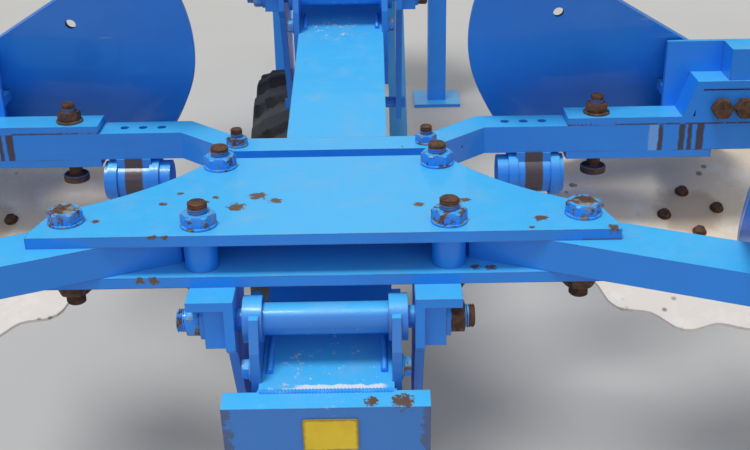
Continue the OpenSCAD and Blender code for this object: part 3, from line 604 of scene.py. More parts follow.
def disc_finish(name, side):
    """Tan paint bleached in clouds, a brown stain from the bearing, dark spots and a worn rim."""
    shop = Finish(name)
    centre = joint_place(f"disc_{side}_spin") / 1000
    away = shop.away(centre)
    tan = tuple(settings().cream)
    colour = shop.mix(shop.noise(7, 5, 0.6).rise(0.36, 0.64), shade(tan, 0.86), tan)
    rear = shop.axis("Y").fall(float(centre[1]) - 0.14, float(centre[1]) - 0.02)
    colour = shop.mix(rear * 0.9, colour, DISC_SUNNED)
    colour = shop.mix(shop.noise(19, 5, 0.7, shift=(2, 4, 1)).rise(0.50, 0.66) * 0.45, colour, DISC_CLOUD)
    stain = (away.fall(0.01, 0.085) * 0.9 + shop.noise(26, 6, 0.72) - 0.85).rise(0.0, 0.4)
    colour = shop.mix(stain * 0.5, colour, DISC_STAIN)
    spots = shop.flakes(38, (2, 1, 3)).fall(0.12, 0.2) * shop.noise(11, 3, shift=(7, 7, 1)).rise(0.56, 0.62)
    colour = shop.mix(spots * 0.75, colour, DISC_SPOT)
    rim = (away.rise(0.170, 0.204) * 0.75 + shop.noise(44, 5, 0.7, shift=(3, 3, 1)) - 0.95).rise(0.2, 0.5)
    colour = shop.mix(rim * 0.8, colour, DISC_RIM)
    rough = 0.52 + shop.noise(40, 3).rise(0.3, 0.7) * 0.2
    return shop.close(colour, rough, shop.noise(180, 3) * 0.4 + shop.noise(16, 4) * 0.5, 0.0008)


def bright_rod(name):
    """Ground and plated rod with a film of dust."""
    shop = Finish(name)
    film = shop.noise(30, 5, 0.7).rise(0.45, 0.75)
    colour = shop.mix(film * 0.4, ROD_BRIGHT, ROD_FILM)
    grain = shop.noise(700, 1, 0.5, (0.05, 1, 1)) * 0.3
    return shop.close(colour, 0.16 + film * 0.25, grain, 0.0002, Metallic=1.0)


def grey_rim(name):
    """Light grey paint on the rim, brown in patches and rusty where it bends."""
    shop = Finish(name)
    rub = (shop.edges(0.006) * 1.6 + shop.noise(50, 5, 0.7) - 0.75).rise(0.1, 0.35)
    colour = shop.mix(shop.noise(10, 4).rise(0.3, 0.7), RIM_GREY, RIM_PALE)
    colour = shop.mix(shop.noise(16, 5, 0.7, shift=(5, 0, 2)).rise(0.5, 0.72) * 0.4, colour, RIM_BROWN)
    colour = shop.mix(rub, colour, rust_colour(shop))
    return shop.close(colour, 0.45 + rub * 0.3, shop.noise(200, 2) * 0.3, 0.0005, Coat_Weight=0.1)


def rubber(name):
    """Dark rubber with a fine grain, and dust that lies most between the blocks."""
    shop = Finish(name)
    dust = shop.attribute("between") * 0.5 + shop.noise(14, 6, 0.7).rise(0.4, 0.8) * 0.5
    colour = shop.mix(dust * 0.55, RUBBER_BLACK, RUBBER_DUST)
    grain = shop.noise(260, 3) * 0.5 + shop.flakes(190).rise(0.1, 0.5) * 0.3
    return shop.close(colour, 0.72 + shop.noise(40, 3) * 0.2, grain, 0.0008)


def sign_finish(name):
    """Faded yellow sheet, grimy at its rim, with faint brown runs."""
    shop = Finish(name)
    yellow = tuple(settings().sign)
    colour = shop.mix(shop.noise(30, 5, 0.6).rise(0.3, 0.7), shade(yellow, 0.88), yellow)
    rim = (shop.attribute("rim") + shop.noise(90, 5, 0.7) * 0.8 - 0.8).rise(0.1, 0.5)
    colour = shop.mix(rim * 0.7, colour, SIGN_GRIME)
    run = shop.noise(60, 4, 0.6, (1, 1, 0.15), (2, 0, 0)).rise(0.6, 0.75)
    colour = shop.mix(run * 0.25, colour, SIGN_RUN)
    return shop.close(colour, 0.5 + rim * 0.2, shop.noise(300, 2) * 0.3, 0.0003)


def floor_finish(name):
    """Plain pale floor with a very faint cloudiness."""
    shop = Finish(name)
    pale = tuple(bpy.context.scene.plough_stage.floor)
    colour = shop.mix(shop.noise(1.4, 4).rise(0.3, 0.7), shade(pale, 0.965), pale)
    return shop.close(colour, 0.85, shop.noise(60, 3) * 0.2, 0.0004)


# Surfaces


def sheet_of(points, close_columns=False):
    """Points on a grid of rows and columns, and the faces between neighbours."""
    rows, columns = points.shape[:2]
    index = np.arange(rows * columns).reshape(rows, columns)
    if close_columns:
        index = np.concatenate([index, index[:, :1]], axis=1)
    quads = np.stack([index[:-1, :-1], index[:-1, 1:], index[1:, 1:], index[1:, :-1]], axis=-1)
    return points.reshape(-1, 3), quads.reshape(-1, 4)


def full_turn(steps):
    """Angles that share out a full turn."""
    return np.linspace(0, 2 * np.pi, steps, endpoint=False)


def about_z(radius, height, angle):
    """Points about Z: radius times the cosine and the sine of the angle, at a height."""
    return np.stack([radius * np.cos(angle), radius * np.sin(angle), height + 0 * angle], axis=-1)


def turned(profile, steps):
    """Surface of revolution about Z: radius and height of the profile, swept round the full turn."""
    radius, height = np.asarray(profile, float).T
    return about_z(radius[:, None], height[:, None], full_turn(steps))


def hexagon(across, height, chamfer=1.6, steps=48):
    """Hexagon nut along Z: the radius is half the width across flats over the cosine of the angle from
    the nearest flat, held back to a circle at both faces by a chamfer."""
    angle = full_turn(steps)
    flat = across / 2 / np.cos((angle % (np.pi / 3)) - np.pi / 6)
    level = np.array([0, 0, chamfer, height - chamfer, height, height])
    hold = np.array([0, across * 0.49, across, across, across * 0.49, 0])
    return about_z(np.minimum(flat[None, :], hold[:, None]), level[:, None], angle)


def stud(diameter, height, pitch=2.5, steps=24):
    """Threaded end along Z: the radius falls by a ridge whose phase climbs one pitch a turn, then a cone and
    a flat close its top. Its foot is open, inside a nut or a plate."""
    rows = max(8, int(height / pitch * 4))
    angle = full_turn(steps)[None, :]
    level = np.linspace(0, height, rows)[:, None]
    ridge = 0.5 + 0.5 * np.cos(2 * np.pi * level / pitch - angle)
    radius = diameter / 2 - 0.055 * diameter * ridge
    radius = np.concatenate([radius, radius[-1:] * 0.86, radius[-1:] * 0])
    level = np.concatenate([level, level[-1:] + 1.0, level[-1:] + 1.0])
    return about_z(radius, level, angle)


def washer(diameter, thick):
    """Flat washer along Z with a rounded rim."""
    r = diameter / 2
    return turned([(0, 0), (r - 0.6, 0), (r, 0.8), (r, thick - 0.8), (r - 0.6, thick), (0, thick)], 40)


def bead(path, width):
    """Weld bead: a ring carried along a path that lies in the joint, its radius rippled by a sine about twice
    in each width, and 0 at both ends."""
    path = np.asarray(path, float)
    step = np.linalg.norm(np.diff(path, axis=0), axis=1)
    along = np.concatenate([[0], np.cumsum(step)])
    spot = np.linspace(0, along[-1], max(8, int(along[-1] / (width / 9))))
    centre = np.stack([np.interp(spot, along, path[:, k]) for k in range(3)], axis=-1)
    tangent = np.gradient(centre, axis=0)
    tangent /= np.linalg.norm(tangent, axis=1)[:, None]
    side = np.cross(tangent, [0.31, 0.52, 0.79])
    side /= np.linalg.norm(side, axis=1)[:, None]
    up = np.cross(side, tangent)
    size = width / 2 * (1 + 0.14 * np.sin(spot * 2 * np.pi / (width / 2.2)))
    size[0] = size[-1] = 0
    angle = full_turn(10)
    ring = np.cos(angle)[None, :, None] * side[:, None] + np.sin(angle)[None, :, None] * up[:, None]
    return centre[:, None] + ring * size[:, None, None]


def stood(points, foot, axis=(0, 0, 1), turn=0.0):
    """Moves a surface drawn along Z to a foot, along an axis, turned about it."""
    axis = np.array(axis, float) / np.linalg.norm(axis)
    helper = np.array([1.0, 0, 0]) if abs(axis[0]) < 0.9 else np.array([0, 1.0, 0])
    side = np.cross(axis, helper)
    side /= np.linalg.norm(side)
    other = np.cross(axis, side)
    c, s = math.cos(turn), math.sin(turn)
    x, y, z = points[..., 0], points[..., 1], points[..., 2]
    flat = (c * x - s * y)[..., None] * -other + (s * x + c * y)[..., None] * side
    return np.asarray(foot, float) + flat + z[..., None] * axis


def fitting(points, rusted, foot, axis=(0, 0, 1), turn=0.0):
    """A surface stood at a foot, with how rusty it is."""
    return stood(points, foot, axis, turn), {"rusted": rusted}


def outward(spots, quads):
    """Faces turned so that a closed surface holds a volume above 0."""
    a, b, c, d = (spots[quads[:, k]] for k in range(4))
    inside = np.einsum("ij,ij->", a, np.cross(b, c)) + np.einsum("ij,ij->", a, np.cross(c, d))
    return quads if inside > 0 else quads[:, ::-1]


def piece(name, surfaces, body, material, sharp=35.0):
    """One object from surfaces that close in their columns, each with the numbers that its points keep."""
    mesh = bpy.data.meshes.new(name)
    keys = sorted({key for points, numbers in surfaces for key in numbers})
    corners, faces, values, base = [], [], {key: [] for key in keys}, 0
    for points, numbers in surfaces:
        spots, quads = sheet_of(points, True)
        corners.append(spots)
        faces.append(outward(spots, quads) + base)
        for key in keys:
            values[key].append(np.broadcast_to(numbers.get(key, 0.0), points.shape[:2]).reshape(-1))
        base += len(spots)
    corners = np.concatenate(corners) / 1000.0
    mesh.from_pydata(corners.tolist(), [], np.concatenate(faces).tolist())
    for key in keys:
        layer = mesh.attributes.new(key, "FLOAT", "POINT")
        layer.data.foreach_set("value", np.concatenate(values[key]).astype(np.float32))
    shell = bmesh.new()
    shell.from_mesh(mesh)
    bmesh.ops.remove_doubles(shell, verts=shell.verts, dist=2e-6)
    bmesh.ops.dissolve_degenerate(shell, edges=shell.edges, dist=1e-6)
    shell.to_mesh(mesh)
    shell.free()
    mesh.polygons.foreach_set("use_smooth", np.ones(len(mesh.polygons), bool))
    mesh.set_sharp_from_angle(angle=math.radians(sharp))
    mesh.materials.append(material)
    obj = bpy.data.objects.new(name, mesh)
    bpy.context.scene.collection.objects.link(obj)
    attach(obj, body)
    return obj


# Boards

# Reach and width; height at the share, where along the board it starts to rise and by how much; height of the
# top edge at the shin, its slope and curve; place of the shin, its slope and curve; sweep low down, what it
# gains higher up, and its closing; lean; fold at the corner
Board = namedtuple(
    "Board",
    "reach width low low_from low_rise top top_slope top_curve shin shin_slope shin_curve"
    " sweep sweep_gain closing lean fold",
)
MAIN_BOARD = Board(800, 560, 62, 0.45, 190, 340, 300, -220, 235, 0.55, 0.0006, 1.15, 0.3, 0.0006, 0.16, 0)
SKIM_BOARD = Board(590, 310, 50, 0.36, 315, 340, 255, -215, 490, 0.05, 0, 0.5, 0, 0, 0, 0.009)
# How far the shin lies below the top plate's upper face
LAND_DROP = 80.0
# Height at which the sweep is full, and height about which a board leans
FULL_SWEEP = 340
LEAN_ABOUT = 240
# Height and width of the folded corner, and the two legs and the length of the fold's line
CORNER_HIGH, CORNER_WIDE = 274, 40
FOLD_RUN, FOLD_CLIMB, FOLD_LENGTH = 85, 137, 161
# How far the rim stands out between the faces, as a part of the thickness
RIM_BULGE = 0.12
# Step along and up the board over which its normal is measured
NORMAL_STEP = 0.01


def ahead(b, high, wide):
    """How far a board's face stands ahead of the plate's rear edge: the shin's curve, less a sweep that grows
    with height, plus its closing, less the square of the distance past the folded corner."""
    past = ((high - CORNER_HIGH) * FOLD_RUN - (wide - CORNER_WIDE) * FOLD_CLIMB) / FOLD_LENGTH
    return (
        b.shin - b.shin_slope * high + b.shin_curve * high**2
        - (b.sweep + b.sweep_gain * np.minimum(1, high / FULL_SWEEP)) * wide + b.closing * wide**2
        - b.fold * np.maximum(0, past) ** 2
    )


def board_face(b, along, up):
    """Working face from shin to tail and share to top edge, both 0 to 1: the height runs between the share's
    line and the top's line, and the width grows along the board and, without a fold, swells with height."""
    low = b.low + b.low_rise * np.maximum(0, along - b.low_from) / (1 - b.low_from)
    top = b.top + b.top_slope * along + b.top_curve * along**2
    high = low + (top - low) * up
    swell = 1.0 if b.fold > 0 else 0.82 + 0.40 * up - 0.27 * up**2
    wide = b.width * along * swell
    lean = 1 + b.lean * (high - LEAN_ABOUT) / LEAN_ABOUT
    return np.stack([b.reach - high, ahead(b, high, wide), wide * lean - LAND_DROP], axis=-1)


def board_shell(b, thick, rows, columns, side, origin):
    """Closed board: its face, the same face set back along its normal, and a rim that rounds between them.
    For each step along the board the points run up the face and down the back; both ends close on a line."""
    along, up = np.meshgrid(np.linspace(0, 1, rows + 1), np.linspace(0, 1, columns + 1), indexing="ij")
    face = board_face(b, along, up)
    normal = np.cross(
        board_face(b, along, up + NORMAL_STEP) - board_face(b, along, up - NORMAL_STEP),
        board_face(b, along + NORMAL_STEP, up) - board_face(b, along - NORMAL_STEP, up),
    )
    normal /= np.linalg.norm(normal, axis=-1)[..., None]
    back = face - normal * thick
    middle = face - normal * thick / 2

    def rim(edge, inner):
        """Line outside an edge, half way between the faces."""
        out = face[:, edge] - face[:, inner]
        return (middle[:, edge] + out / np.linalg.norm(out, axis=-1)[:, None] * thick * RIM_BULGE)[:, None]

    loop = np.concatenate([face, rim(-1, -2), back[:, ::-1], rim(0, 1)], axis=1)
    shin, tail = (np.concatenate([line, line[-1:], line[::-1], line[:1]])[None] for line in middle[[0, -1]])
    points = np.concatenate([shin, loop, tail], axis=0)
    worked = np.zeros(points.shape[:2])
    worked[:, : columns + 1] = 1.0
    points = points * np.array([side, 1, 1])
    numbers = {"worked": worked, "across": points[..., 0] / 1000, "level": points[..., 2] / 1000}
    return points + origin, numbers


class PLOUGH_OT_boards(bpy.types.Operator):
    """Make the mouldboards and the skimmers' boards as smooth rolled shells."""

    bl_idname = "plough.boards"
    bl_label = "Boards"

    def execute(self, context):
        size = context.scene.plough_boards
        material = finish("board_back_and_face", board_finish)
        kinds = (("mouldboards", MAIN_BOARD, size.main_thick), ("skimmers", SKIM_BOARD, size.skim_thick))
        for kind, board, thick in kinds:
            for pair in PAIRS:
                origin = pair_origin(pair)
                shells = [board_shell(board, thick, size.rows, size.columns, side, origin) for side in SIDES]
                obj = piece(f"{kind}_rolled_{pair}", shells, f"pair_{pair}", material, 40.0)
                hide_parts(f"{kind}_{pair}")
        return {"FINISHED"}


# Wheel

# Across and radius of the tyre's section, from one side's foot to the middle of the tread
TYRE_SECTION = np.array([
    (-86, 191.5), (-86, 207), (-112, 232), (-127, 262), (-131.5, 292), (-129, 322), (-121, 340), (-100, 352),
    (-84, 358), (-60, 361), (-34, 362.6), (-17, 363.2), (0, 363.4),
])
TREAD_BASE = 363.4
TREAD_HALF = 131.0
# How far across the tread a stripe slants by one pitch
STRIPE_SLANT = 190.0
# Number, circle, face and first turn in degrees of the nuts on the rim, and the foot of the hub's cap
RIM_NUTS, NUT_CIRCLE, NUT_FACE, NUT_TURN = 6, 78, 8.0, 15
CAP_FOOT = 155.0
CAP_PROFILE = ((0, 96), (22, 95), (36, 90), (41, 82), (42, 74), (0, 74))


def soft_step(value, low, high):
    """Smooth step from 0 at low to 1 at high: three squares less two cubes."""
    t = np.clip((value - low) / (high - low), 0, 1)
    return t * t * (3 - 2 * t)


def tyre_surface(outer, depth, lugs, centre):
    """Tyre about the X axis: a closed section swept round, its tread raised by blocks. A block is a smooth
    step across a slanted stripe, the stripes of both shoulders half a pitch apart, and fades down the
    shoulder."""
    section = np.concatenate([TYRE_SECTION, (TYRE_SECTION * [-1, 1])[-2::-1]])
    run = np.concatenate([[0], np.cumsum(np.linalg.norm(np.diff(section, axis=0), axis=1))])
    fine = np.linspace(0, run[-1], 96)
    wide, radius = np.interp(fine, run, section[:, 0]), np.interp(fine, run, section[:, 1])
    a, w = np.meshgrid(full_turn(lugs * 20), wide, indexing="ij")
    r = np.broadcast_to(radius, w.shape)
    off = np.abs(w)
    phase = (a / (2 * np.pi) * lugs + np.where(w > 0, 0.5, 0.0) - off / STRIPE_SLANT) % 1.0
    stripe = soft_step(phase, 0.06, 0.13) * (1 - soft_step(phase, 0.50, 0.57))
    reach = soft_step(off, 4, 9) * (1 - soft_step(off, 124, 130)) * soft_step(r, 318, 338)
    top = np.minimum(outer, TREAD_BASE + depth) - 6 * (off / TREAD_HALF) ** 4
    raised = np.minimum(r + (top - r) * stripe * reach * np.where(off > 100, 0.8, 1.0), outer)
    points = np.stack([w, raised * np.sin(a), -raised * np.cos(a)], axis=-1)
    between = soft_step(r, 318, 345) * (1 - stripe)
    # Both feet of the section stand twice, and the first ring comes again to close the turn
    grids = [np.concatenate([grid, grid[:, -1:], grid[:, :1]], axis=1) for grid in (points, between)]
    points, between = (np.concatenate([grid, grid[:1]], axis=0) for grid in grids)
    return points + centre, {"between": between}


class PLOUGH_OT_wheel(bpy.types.Operator):
    """Make the depth wheel's tyre with its blocks, the nuts of its rim and the hub's cap."""

    bl_idname = "plough.wheel"
    bl_label = "Wheel"

    def execute(self, context):
        size = context.scene.plough_wheel
        centre = joint_place("wheel_spin")
        surface = tyre_surface(size.outer, size.lug_depth, size.lugs, centre)
        tyre = piece("tyre_with_blocks", [surface], "wheel", finish("tyre_rubber", rubber), 50.0)
        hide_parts("wheel_tyre")
        out = (1, 0, 0)
        nuts = []
        for k in range(RIM_NUTS):
            turn = math.radians(360 / RIM_NUTS * k + NUT_TURN)
            spot = centre + np.array([NUT_FACE, NUT_CIRCLE * math.cos(turn), NUT_CIRCLE * math.sin(turn)])
            nuts.append(fitting(washer(30, 3), 0.9, spot, out))
            nuts.append(fitting(hexagon(22, 16), 0.9, spot, out, turn))
            nuts.append(fitting(stud(14, 24, 2.0), 1.0, spot, out))
        nuts.append(fitting(turned(CAP_PROFILE, 48), 0.5, centre - [CAP_FOOT, 0, 0], out))
        piece("rim_nuts", nuts, "wheel", finish("rusty_fasteners", rusty))
        return {"FINISHED"}


# Fasteners

# Levels of the lower plate's under face and of the face under the yoke's nuts
PLATE_UNDER = -59.0
YOKE_NUT_LEVEL = -12.0
# Across, ahead, diameter, height of the stud over the nut, how rusty the nut on the left and on the right is
PLATE_BOLTS = (
    (129, 27, 20, 11, 0.40, 0.44),
    (269, 40, 20, 0, 0.46, 0.42),
    (125, 188, 20, 10, 0.38, 0.40),
)
YOKE_BOLT = (117, 290, 14, 10, 0.48, 0.44)
PIVOT_NUT_ACROSS = 128.8
# Places across of the two bolts of the skimmer's strap, and how far ahead and at what level they stand
STRAP_BOLTS = (494, 523)
STRAP_AHEAD, STRAP_LEVEL = 341, 10
# Place of the stud that clamps the skimmer to the yoke's arm, the level of its washer, and its head's profile
CLAMP_ACROSS, CLAMP_AHEAD, CLAMP_LEVEL = 340, 360, -2.0
CLAMP_HEAD = (
    (0, -83.6), (14, -83.6), (16.6, -82), (16.6, -75), (14, -73.4), (8.6, -73), (8.6, -57.2), (0, -57.2),
)
# Across, along and above of the bolt on an ear of the beam, from the pair's pivot
EAR_BOLT = (77.6, -30, -42)
# Number, circle, height over the disc's middle and first turn in degrees of the bolts on a disc's hub
DISC_BOLTS, DISC_CIRCLE, DISC_FACE, DISC_TURN = 4, 37, 2.5, 8


def bolt_set(spot, diameter, over, rusted, top=0.0):
    """A stud with washer and nut above a plate and a nut below it, or where no stud stands over, a bolt's
    head with its washer above the plate, and nut, washer and threaded end below it."""
    across = 1.6 * diameter + 0.6
    tall = 0.62 * diameter + 2.1
    upper = spot + [0, 0, top]
    lower = spot + [0, 0, PLATE_UNDER]
    down = (0, 0, -1)
    made = [
        fitting(washer(1.92 * diameter, 2.6), rusted, upper),
        fitting(hexagon(across, tall), rusted, upper),
        fitting(hexagon(across, tall if over else 1.1 * diameter), 0.95, lower, down),
    ]
    if over:
        made.append(fitting(stud(diameter + 0.9, tall + over), 0.95, upper))
    else:
        face = turned([(0, tall + 0.5), (diameter * 0.55, tall + 0.5), (diameter * 0.6, tall), (0, tall)], 32)
        made.append(fitting(face, rusted + 0.25, upper))
        made.append(fitting(washer(1.9 * diameter, 4), 1.0, lower, down))
        made.append(fitting(stud(diameter + 0.9, 1.7 * diameter), 1.0, lower, down))
    return made


def pivot_nut(origin, side):
    """Nut and threaded end of a pivot, in paint on the left and rusty on the right."""
    end = origin - PIVOT_TO_PLATE + [side * PIVOT_NUT_ACROSS, 0, 0]
    rusted = 0.42 if side < 0 else 0.95
    return [
        fitting(hexagon(33, 15), rusted, end, (side, 0, 0), math.pi / 6),
        fitting(stud(25, 24.6), rusted, end, (side, 0, 0)),
    ]


def strap_bolts(origin, side):
    """Two bolts with washers on the rear of the skimmer's strap."""
    made = []
    for place in STRAP_BOLTS:
        foot = origin + [side * place, STRAP_AHEAD, STRAP_LEVEL]
        made.append(fitting(washer(27, 2.4), 0.85, foot, (0, -1, 0)))
        made.append(fitting(hexagon(24, 15.5), 0.95, foot, (0, -1, 0)))
    return made


def clamp_stud(origin, side):
    """Washer, nut and threaded end over the clamp on the yoke's arm, and the head below it."""
    foot = origin + [side * CLAMP_ACROSS, CLAMP_AHEAD, 0]
    over = foot + [0, 0, CLAMP_LEVEL]
    return [
        fitting(washer(34, 3), 0.8, over),
        fitting(hexagon(26, 14), 0.95, over, turn=0.4),
        fitting(stud(17, 24, 2.2), 1.0, over),
        fitting(turned(CLAMP_HEAD, 40), 1.0, foot),
    ]


def pair_fittings(origin):
    """Everything that is screwed to one pair's plates, pivot, straps and clamps."""
    made = []
    for across, on, diameter, over, *rust in PLATE_BOLTS:
        for side, rusted in zip(SIDES, rust):
            made += bolt_set(origin + [side * across, on, 0], diameter, over, rusted)
    across, on, diameter, over, *rust = YOKE_BOLT
    for side, rusted in zip(SIDES, rust):
        made += bolt_set(origin + [side * across, on, 0], diameter, over, rusted, YOKE_NUT_LEVEL)
        made += pivot_nut(origin, side) + strap_bolts(origin, side) + clamp_stud(origin, side)
    return made


def ear_bolts():
    """A bolt with its washer on each ear of the beam."""
    across, along, above = EAR_BOLT
    made = []
    for pair in PAIRS:
        for side in SIDES:
            foot = on_beam([side * across, along, above], pair)
            made.append(fitting(washer(26, 2.4), 0.42, foot, (side, 0, 0)))
            made.append(fitting(hexagon(20, 10), 0.46, foot, (side, 0, 0), 0.5))
    return made


def disc_bolts(joint):
    """Bolts with washers round the hub of a disc."""
    axis = np.array(JOINTS[joint]["axis"])
    across = np.array([1.0, 0, 0])
    other = np.cross(axis, across)
    made = []
    for k in range(DISC_BOLTS):
        turn = math.radians(360 / DISC_BOLTS * k + DISC_TURN)
        out = across * math.cos(turn) + other * math.sin(turn)
        foot = joint_place(joint) + DISC_CIRCLE * out + DISC_FACE * axis
        made.append(fitting(washer(19, 1.4), 1.0, foot, axis))
        made.append(fitting(hexagon(13, 6.5, 0.9), 1.0, foot, axis, turn))
    return made


class PLOUGH_OT_fasteners(bpy.types.Operator):
    """Put washers, nuts and threaded ends on the plates, pivots, clamps, ears and disc hubs."""

    bl_idname = "plough.fasteners"
    bl_label = "Fasteners"

    def execute(self, context):
        material = finish("rusty_fasteners", rusty)
        for pair in PAIRS:
            made = pair_fittings(pair_origin(pair))
            piece(f"plate_nuts_{pair}", made, f"pair_{pair}", material)
        piece("ear_bolts", ear_bolts(), "beam", material)
        for name in ("left", "right"):
            made = disc_bolts(f"disc_{name}_spin")
            piece(f"disc_bolts_{name}", made, f"disc_{name}", material)
        return {"FINISHED"}


# Weld beads

# An ear's side face, and along and above of both ends of the bead down its edge, from the pair's pivot
EAR_SIDE = 70
EAR_EDGE = ((46, -58), (55, -138))
# Across, half length and level of the bead at an ear's foot
EAR_FOOT = (60, 30, -49)
# Half width, place along, top and bottom of the bead round the end plate
END_BEAD = (69, -59.5, -50, -189)


class PLOUGH_OT_welds(bpy.types.Operator):
    """Lay weld beads where the ears and the end plate meet the beam."""

    bl_idname = "plough.welds"
    bl_label = "Weld beads"

    def execute(self, context):
        beads = []
        across, half, above = EAR_FOOT
        for pair in reversed(PAIRS):
            for side in SIDES:
                for edge in SIDES:
                    path = [(side * EAR_SIDE, edge * along, level) for along, level in EAR_EDGE]
                    beads.append((bead(on_beam(path, pair), 5), {"rusted": 0.12}))
                path = [(side * across, -half, above), (side * across, half, above)]
                beads.append((bead(on_beam(path, pair), 7), {"rusted": 0.15}))
        x, along, top, low = END_BEAD
        corners = ((-x, top), (x, top), (x, low), (-x, low), (-x, top))
        path = [(place, along, level) for place, level in corners]
        beads.append((bead(on_beam(path), 8), {"rusted": 0.1}))
        piece("beam_welds", beads, "beam", finish("painted_beads", rusty, 0.6))
        return {"FINISHED"}


# Sign

SIGN_WIDTH, SIGN_HEIGHT, SIGN_CORNER, SIGN_THICK = 57, 42, 3, 1.6
# Across, along and above of the middle of the sign's rear face, from the last pivot
SIGN_PLACE = (4, -85.4, -83.5)


def rounded_plate(width, height, corner, steps=14):
    """Rings of a rounded rectangle from its middle outwards: a circle pulled out to the flats, scaled down to
    a point."""
    angle = full_turn(4 * steps)
    x = np.clip(np.cos(angle) * 4, -1, 1) * (width / 2 - corner) + np.cos(angle) * corner
    y = np.clip(np.sin(angle) * 4, -1, 1) * (height / 2 - corner) + np.sin(angle) * corner
    scale = np.linspace(0, 1, 12)
    return scale[:, None, None] * np.stack([x, y], axis=-1)[None], scale


class PLOUGH_OT_sign(bpy.types.Operator):
    """Hang the blank sign on the beam's end plate."""

    bl_idname = "plough.sign"
    bl_label = "Sign"

    def execute(self, context):
        flat, scale = rounded_plate(SIGN_WIDTH, SIGN_HEIGHT, SIGN_CORNER)
        across, back, above = SIGN_PLACE
        x, z = flat[..., 0] + across, flat[..., 1] + above
        swell = 0.5 * np.sin(x / 17 + 0.6) * np.cos(z / 23)
        front = np.stack([x, back - SIGN_THICK - swell * (1 - scale[:, None] ** 6), z], axis=-1)
        rear = np.stack([x, back + 0 * x, z], axis=-1)[::-1]
        rim = np.concatenate([scale, scale[::-1]])[:, None] ** 5
        plate = (on_beam(np.concatenate([front, rear])), {"rim": rim})
        piece("blank_sign", [plate], "beam", finish("sign_yellow", sign_finish), 40.0)
        return {"FINISHED"}


# Paint on the frame's own nodes

# How much more the paint of the carriers and the clamps is worn
ROUGH_WEAR = 1.7


class PLOUGH_OT_paint(bpy.types.Operator):
    """Give every node of the frame its finish."""

    bl_idname = "plough.paint"
    bl_label = "Paint"

    def execute(self, context):
        blue = tuple(context.scene.plough_paint.blue)
        plain = ("blue_paint", painted, blue)
        deep = ("deep_blue_paint", painted, shade(blue, 0.8))
        rod = ("plated_rod", bright_rod)
        board = ("board_back_and_face", board_finish)
        finishes = {
            "beam": ("beam_paint", painted, blue, beam_marks),
            "steering_rod": deep,
            "turnover_cylinder": deep,
            "width_cylinder": deep,
            "turnover_rod": rod,
            "width_rod": rod,
            "cross_shaft": ("pin_steel", worn_steel),
            "wheel_rim": ("rim_paint", grey_rim),
            "wheel_tyre": ("tyre_rubber", rubber),
            "disc_carriers": ("carrier_paint", painted, blue, carrier_marks, ROUGH_WEAR),
            "disc_left": ("disc_cream_left", disc_finish, "left"),
            "disc_right": ("disc_cream_right", disc_finish, "right"),
        }
        for pair in PAIRS:
            finishes.update({
                f"pocket_{pair}": (f"pocket_paint_{pair}", painted, blue, pocket_marks(pair)),
                f"mouldboards_{pair}": board,
                f"skimmers_{pair}": board,
                f"frogs_{pair}": ("share_steel", worn_steel),
                f"stems_{pair}": ("clamp_paint", painted, blue, clamp_marks, ROUGH_WEAR),
                f"yoke_{pair}": ("yoke_paint", painted, blue, yoke_marks),
            })
        for name, obj in frame["nodes"].items():
            obj.data.materials.clear()
            obj.data.materials.append(finish(*finishes.get(name, plain)))
        return {"FINISHED"}


# Stage

FLOOR_REACH = 30000
FLOOR_LEVEL = -0.5
SKY_COLOUR = (0.96, 0.98, 1.0, 1)
SKY_STRENGTH = 0.52
# Name, strength, and in degrees the width of the light and its turns about X and Y
LAMPS = (("sun", 1.75, 16, 12, -12), ("fill", 0.22, 60, 60, 24))


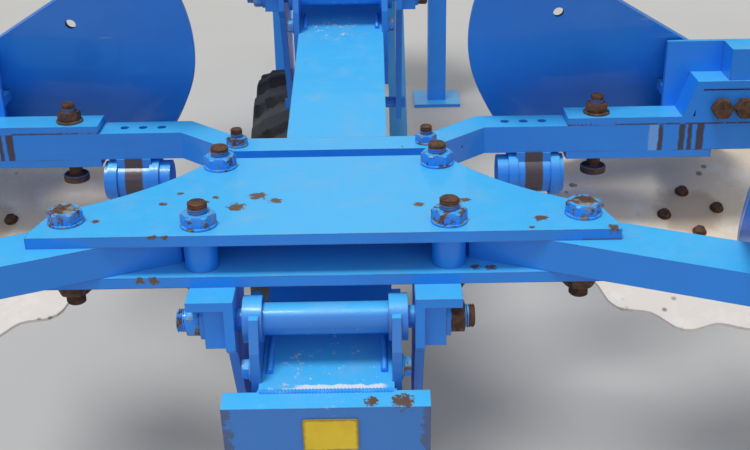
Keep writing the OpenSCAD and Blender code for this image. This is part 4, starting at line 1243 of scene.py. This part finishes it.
class PLOUGH_OT_stage(bpy.types.Operator):
    """Set the floor, the soft light and the camera."""

    bl_idname = "plough.stage"
    bl_label = "Stage"

    def execute(self, context):
        scene = context.scene
        self.lay_floor(scene)
        self.hang_lights(scene)
        self.place_camera(scene)
        scene.view_settings.view_transform = "Standard"
        return {"FINISHED"}

    def lay_floor(self, scene):
        """Flat grid that looks up, just under the plough."""
        ways = np.linspace(-FLOOR_REACH, FLOOR_REACH, 13)
        x, y = np.meshgrid(ways, ways, indexing="ij")
        spots, quads = sheet_of(np.stack([x, y, 0 * x + FLOOR_LEVEL], axis=-1))
        mesh = bpy.data.meshes.new("floor")
        mesh.from_pydata((spots / 1000).tolist(), [], quads[:, ::-1].tolist())
        mesh.materials.append(finish("floor_pale", floor_finish))
        ground = bpy.data.objects.new("floor", mesh)
        scene.collection.objects.link(ground)
        ground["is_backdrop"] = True

    def hang_lights(self, scene):
        """Soft sun from above and behind the camera's left, a wide fill and an even sky."""
        world = bpy.data.worlds.new("sky")
        world.use_nodes = True
        tree = world.node_tree
        tree.nodes.clear()
        even = tree.nodes.new("ShaderNodeBackground")
        even.inputs["Color"].default_value = SKY_COLOUR
        even.inputs["Strength"].default_value = SKY_STRENGTH
        end = tree.nodes.new("ShaderNodeOutputWorld")
        tree.links.new(even.outputs[0], end.inputs["Surface"])
        scene.world = world
        for name, strength, width, about_x, about_y in LAMPS:
            lamp = bpy.data.lights.new(name, "SUN")
            lamp.energy = strength
            lamp.angle = math.radians(width)
            obj = bpy.data.objects.new(name, lamp)
            obj.rotation_euler = (math.radians(about_x), math.radians(about_y), 0)
            scene.collection.objects.link(obj)

    def place_camera(self, scene):
        """Camera at the photograph's place, measured from the last pair's top plate."""
        stage = scene.plough_stage
        data = bpy.data.cameras.new("camera")
        data.lens = stage.lens
        data.sensor_width = 36.0
        data.clip_end = 200.0
        eye = pair_origin(LAST) / 1000 + np.array(stage.camera)
        turn = Euler((math.pi / 2 - stage.pitch, 0, stage.yaw)).to_matrix().to_4x4()
        camera = bpy.data.objects.new("camera", data)
        camera.matrix_world = Matrix.Translation(eye) @ turn @ Matrix.Rotation(stage.roll, 4, "Z")
        scene.collection.objects.link(camera)
        scene.camera = camera


class PLOUGH_PT_panel(bpy.types.Panel):
    """Lists the plough's pieces and settings."""

    bl_label = "Plough"
    bl_idname = "PLOUGH_PT_panel"
    bl_space_type = "VIEW_3D"
    bl_region_type = "UI"
    bl_category = "Plough"

    def draw(self, context):
        for operator in PIECES:
            self.layout.operator(operator.bl_idname)
        for group in GROUPS:
            box = self.layout.box()
            holder = getattr(context.scene, group)
            for name in holder.bl_rna.properties.keys():
                if name not in ("rna_type", "name"):
                    box.prop(holder, name)


PIECES = (
    PLOUGH_OT_stage,
    PLOUGH_OT_paint,
    PLOUGH_OT_boards,
    PLOUGH_OT_wheel,
    PLOUGH_OT_fasteners,
    PLOUGH_OT_welds,
    PLOUGH_OT_sign,
)
GROUPS = {
    "plough_paint": PaintSettings,
    "plough_boards": BoardSettings,
    "plough_wheel": WheelSettings,
    "plough_stage": StageSettings,
}


def register():
    """Registers the settings, the operators and the panel."""
    for name, group in GROUPS.items():
        bpy.utils.register_class(group)
        setattr(bpy.types.Scene, name, bpy.props.PointerProperty(type=group))
    for operator in PIECES:
        bpy.utils.register_class(operator)
    bpy.utils.register_class(PLOUGH_PT_panel)


def unregister():
    """Takes the panel, the operators and the settings out again."""
    bpy.utils.unregister_class(PLOUGH_PT_panel)
    for operator in reversed(PIECES):
        bpy.utils.unregister_class(operator)
    for name, group in GROUPS.items():
        delattr(bpy.types.Scene, name)
        bpy.utils.unregister_class(group)


def main():
    """Makes every piece in order."""
    register()
    for operator in PIECES:
        group, call = operator.bl_idname.split(".")
        getattr(getattr(bpy.ops, group), call)()
    [[list(corner) for corner in box] for box in (cad_box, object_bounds())]


if __name__ == "__main__":
    main()
